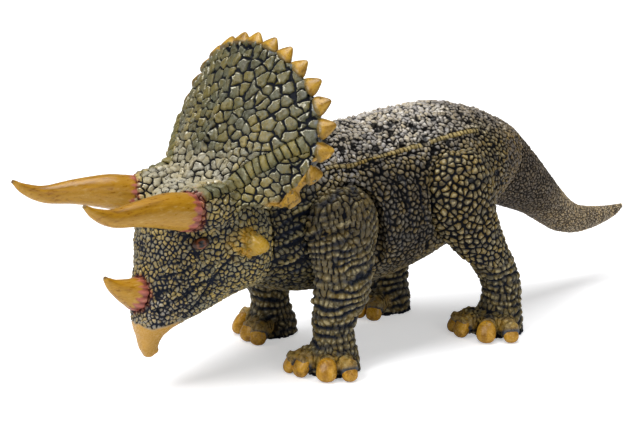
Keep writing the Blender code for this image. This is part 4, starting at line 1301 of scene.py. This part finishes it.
FLOOR_HALF = 4.0
FLOOR_GLOW = 0.44
FLOOR_WHITES = (0.86, 0.86, 0.88, 1), (0.9, 0.9, 0.91, 1)
SKY = 0.20
CAMERA_PLACE = (0.5165, -0.4518, 0.2245)
CAMERA_AIM = (0.0037, -0.0366, 0.060)
LENS = 92.6


def build_floor():
    mesh = bpy.data.meshes.new("floor")
    corners = ((-1, -1), (1, -1), (1, 1), (-1, 1))
    mesh.from_pydata([(x * FLOOR_HALF, y * FLOOR_HALF, 0) for x, y in corners], [], [(0, 1, 2, 3)])
    floor = linked("floor", mesh)
    s = Shader("white floor")
    s.put("Base Color", s.mix(s.noise(60, 2), *FLOOR_WHITES))
    s.put("Roughness", 0.9)
    s.put("Emission Color", (1, 1, 1, 1))
    rays = s.node("ShaderNodeLightPath").outputs
    reach = s.node("ShaderNodeVectorMath", operation="LENGTH")
    s.feed(reach.inputs[0], s.coordinates())
    far = s.times(s.ramp(reach.outputs["Value"], 0.40, 0.95), 1 - FLOOR_GLOW)
    glow = s.add(far, FLOOR_GLOW)
    s.put("Emission Strength", s.times(rays["Is Camera Ray"], glow))
    floor.data.materials.append(s.material)


def aim(holder, place, target):
    """Put an object at a place and turn it to a target."""
    holder.location = place
    holder.rotation_euler = (Vector(target) - Vector(place)).to_track_quat("-Z", "Y").to_euler()


def softbox(name, place, target, size, power):
    lamp = bpy.data.lights.new(name, "AREA")
    lamp.shape = "RECTANGLE"
    lamp.size, lamp.size_y = size
    lamp.energy = power
    aim(linked(name, lamp), place, target)


def build_world():
    world = bpy.data.worlds.new("studio")
    bpy.context.scene.world = world
    world.use_nodes = True
    tree = world.node_tree
    back = tree.nodes["Background"]
    back.inputs["Color"].default_value = (1, 1, 1, 1)
    rays = tree.nodes.new("ShaderNodeLightPath")
    seen = tree.nodes.new("ShaderNodeMath")
    seen.operation = "MAXIMUM"
    tree.links.new(rays.outputs["Is Camera Ray"], seen.inputs[0])
    tree.links.new(rays.outputs["Is Transmission Ray"], seen.inputs[1])
    level = tree.nodes.new("ShaderNodeMapRange")
    tree.links.new(seen.outputs[0], level.inputs["Value"])
    level.inputs["To Min"].default_value = SKY
    level.inputs["To Max"].default_value = 1.0
    tree.links.new(level.outputs[0], back.inputs["Strength"])


def build_camera():
    camera = bpy.data.cameras.new("camera")
    camera.lens = LENS
    camera.sensor_width = 36
    camera.clip_start = 0.01
    holder = linked("camera", camera)
    aim(holder, CAMERA_PLACE, CAMERA_AIM)
    bpy.context.scene.camera = holder


build_floor()
build_world()
softbox("top", (-0.10, 0.0, 1.1), (0, 0, 0.05), (0.7, 0.7), 10)
softbox("left", (0.05, -0.85, 0.80), (0, -0.03, 0.06), (0.45, 0.45), 8)
softbox("right", (0.95, -0.10, 0.50), (0, 0, 0.05), (0.6, 0.6), 2)
build_camera()
bpy.context.scene.view_settings.view_transform = "Standard"
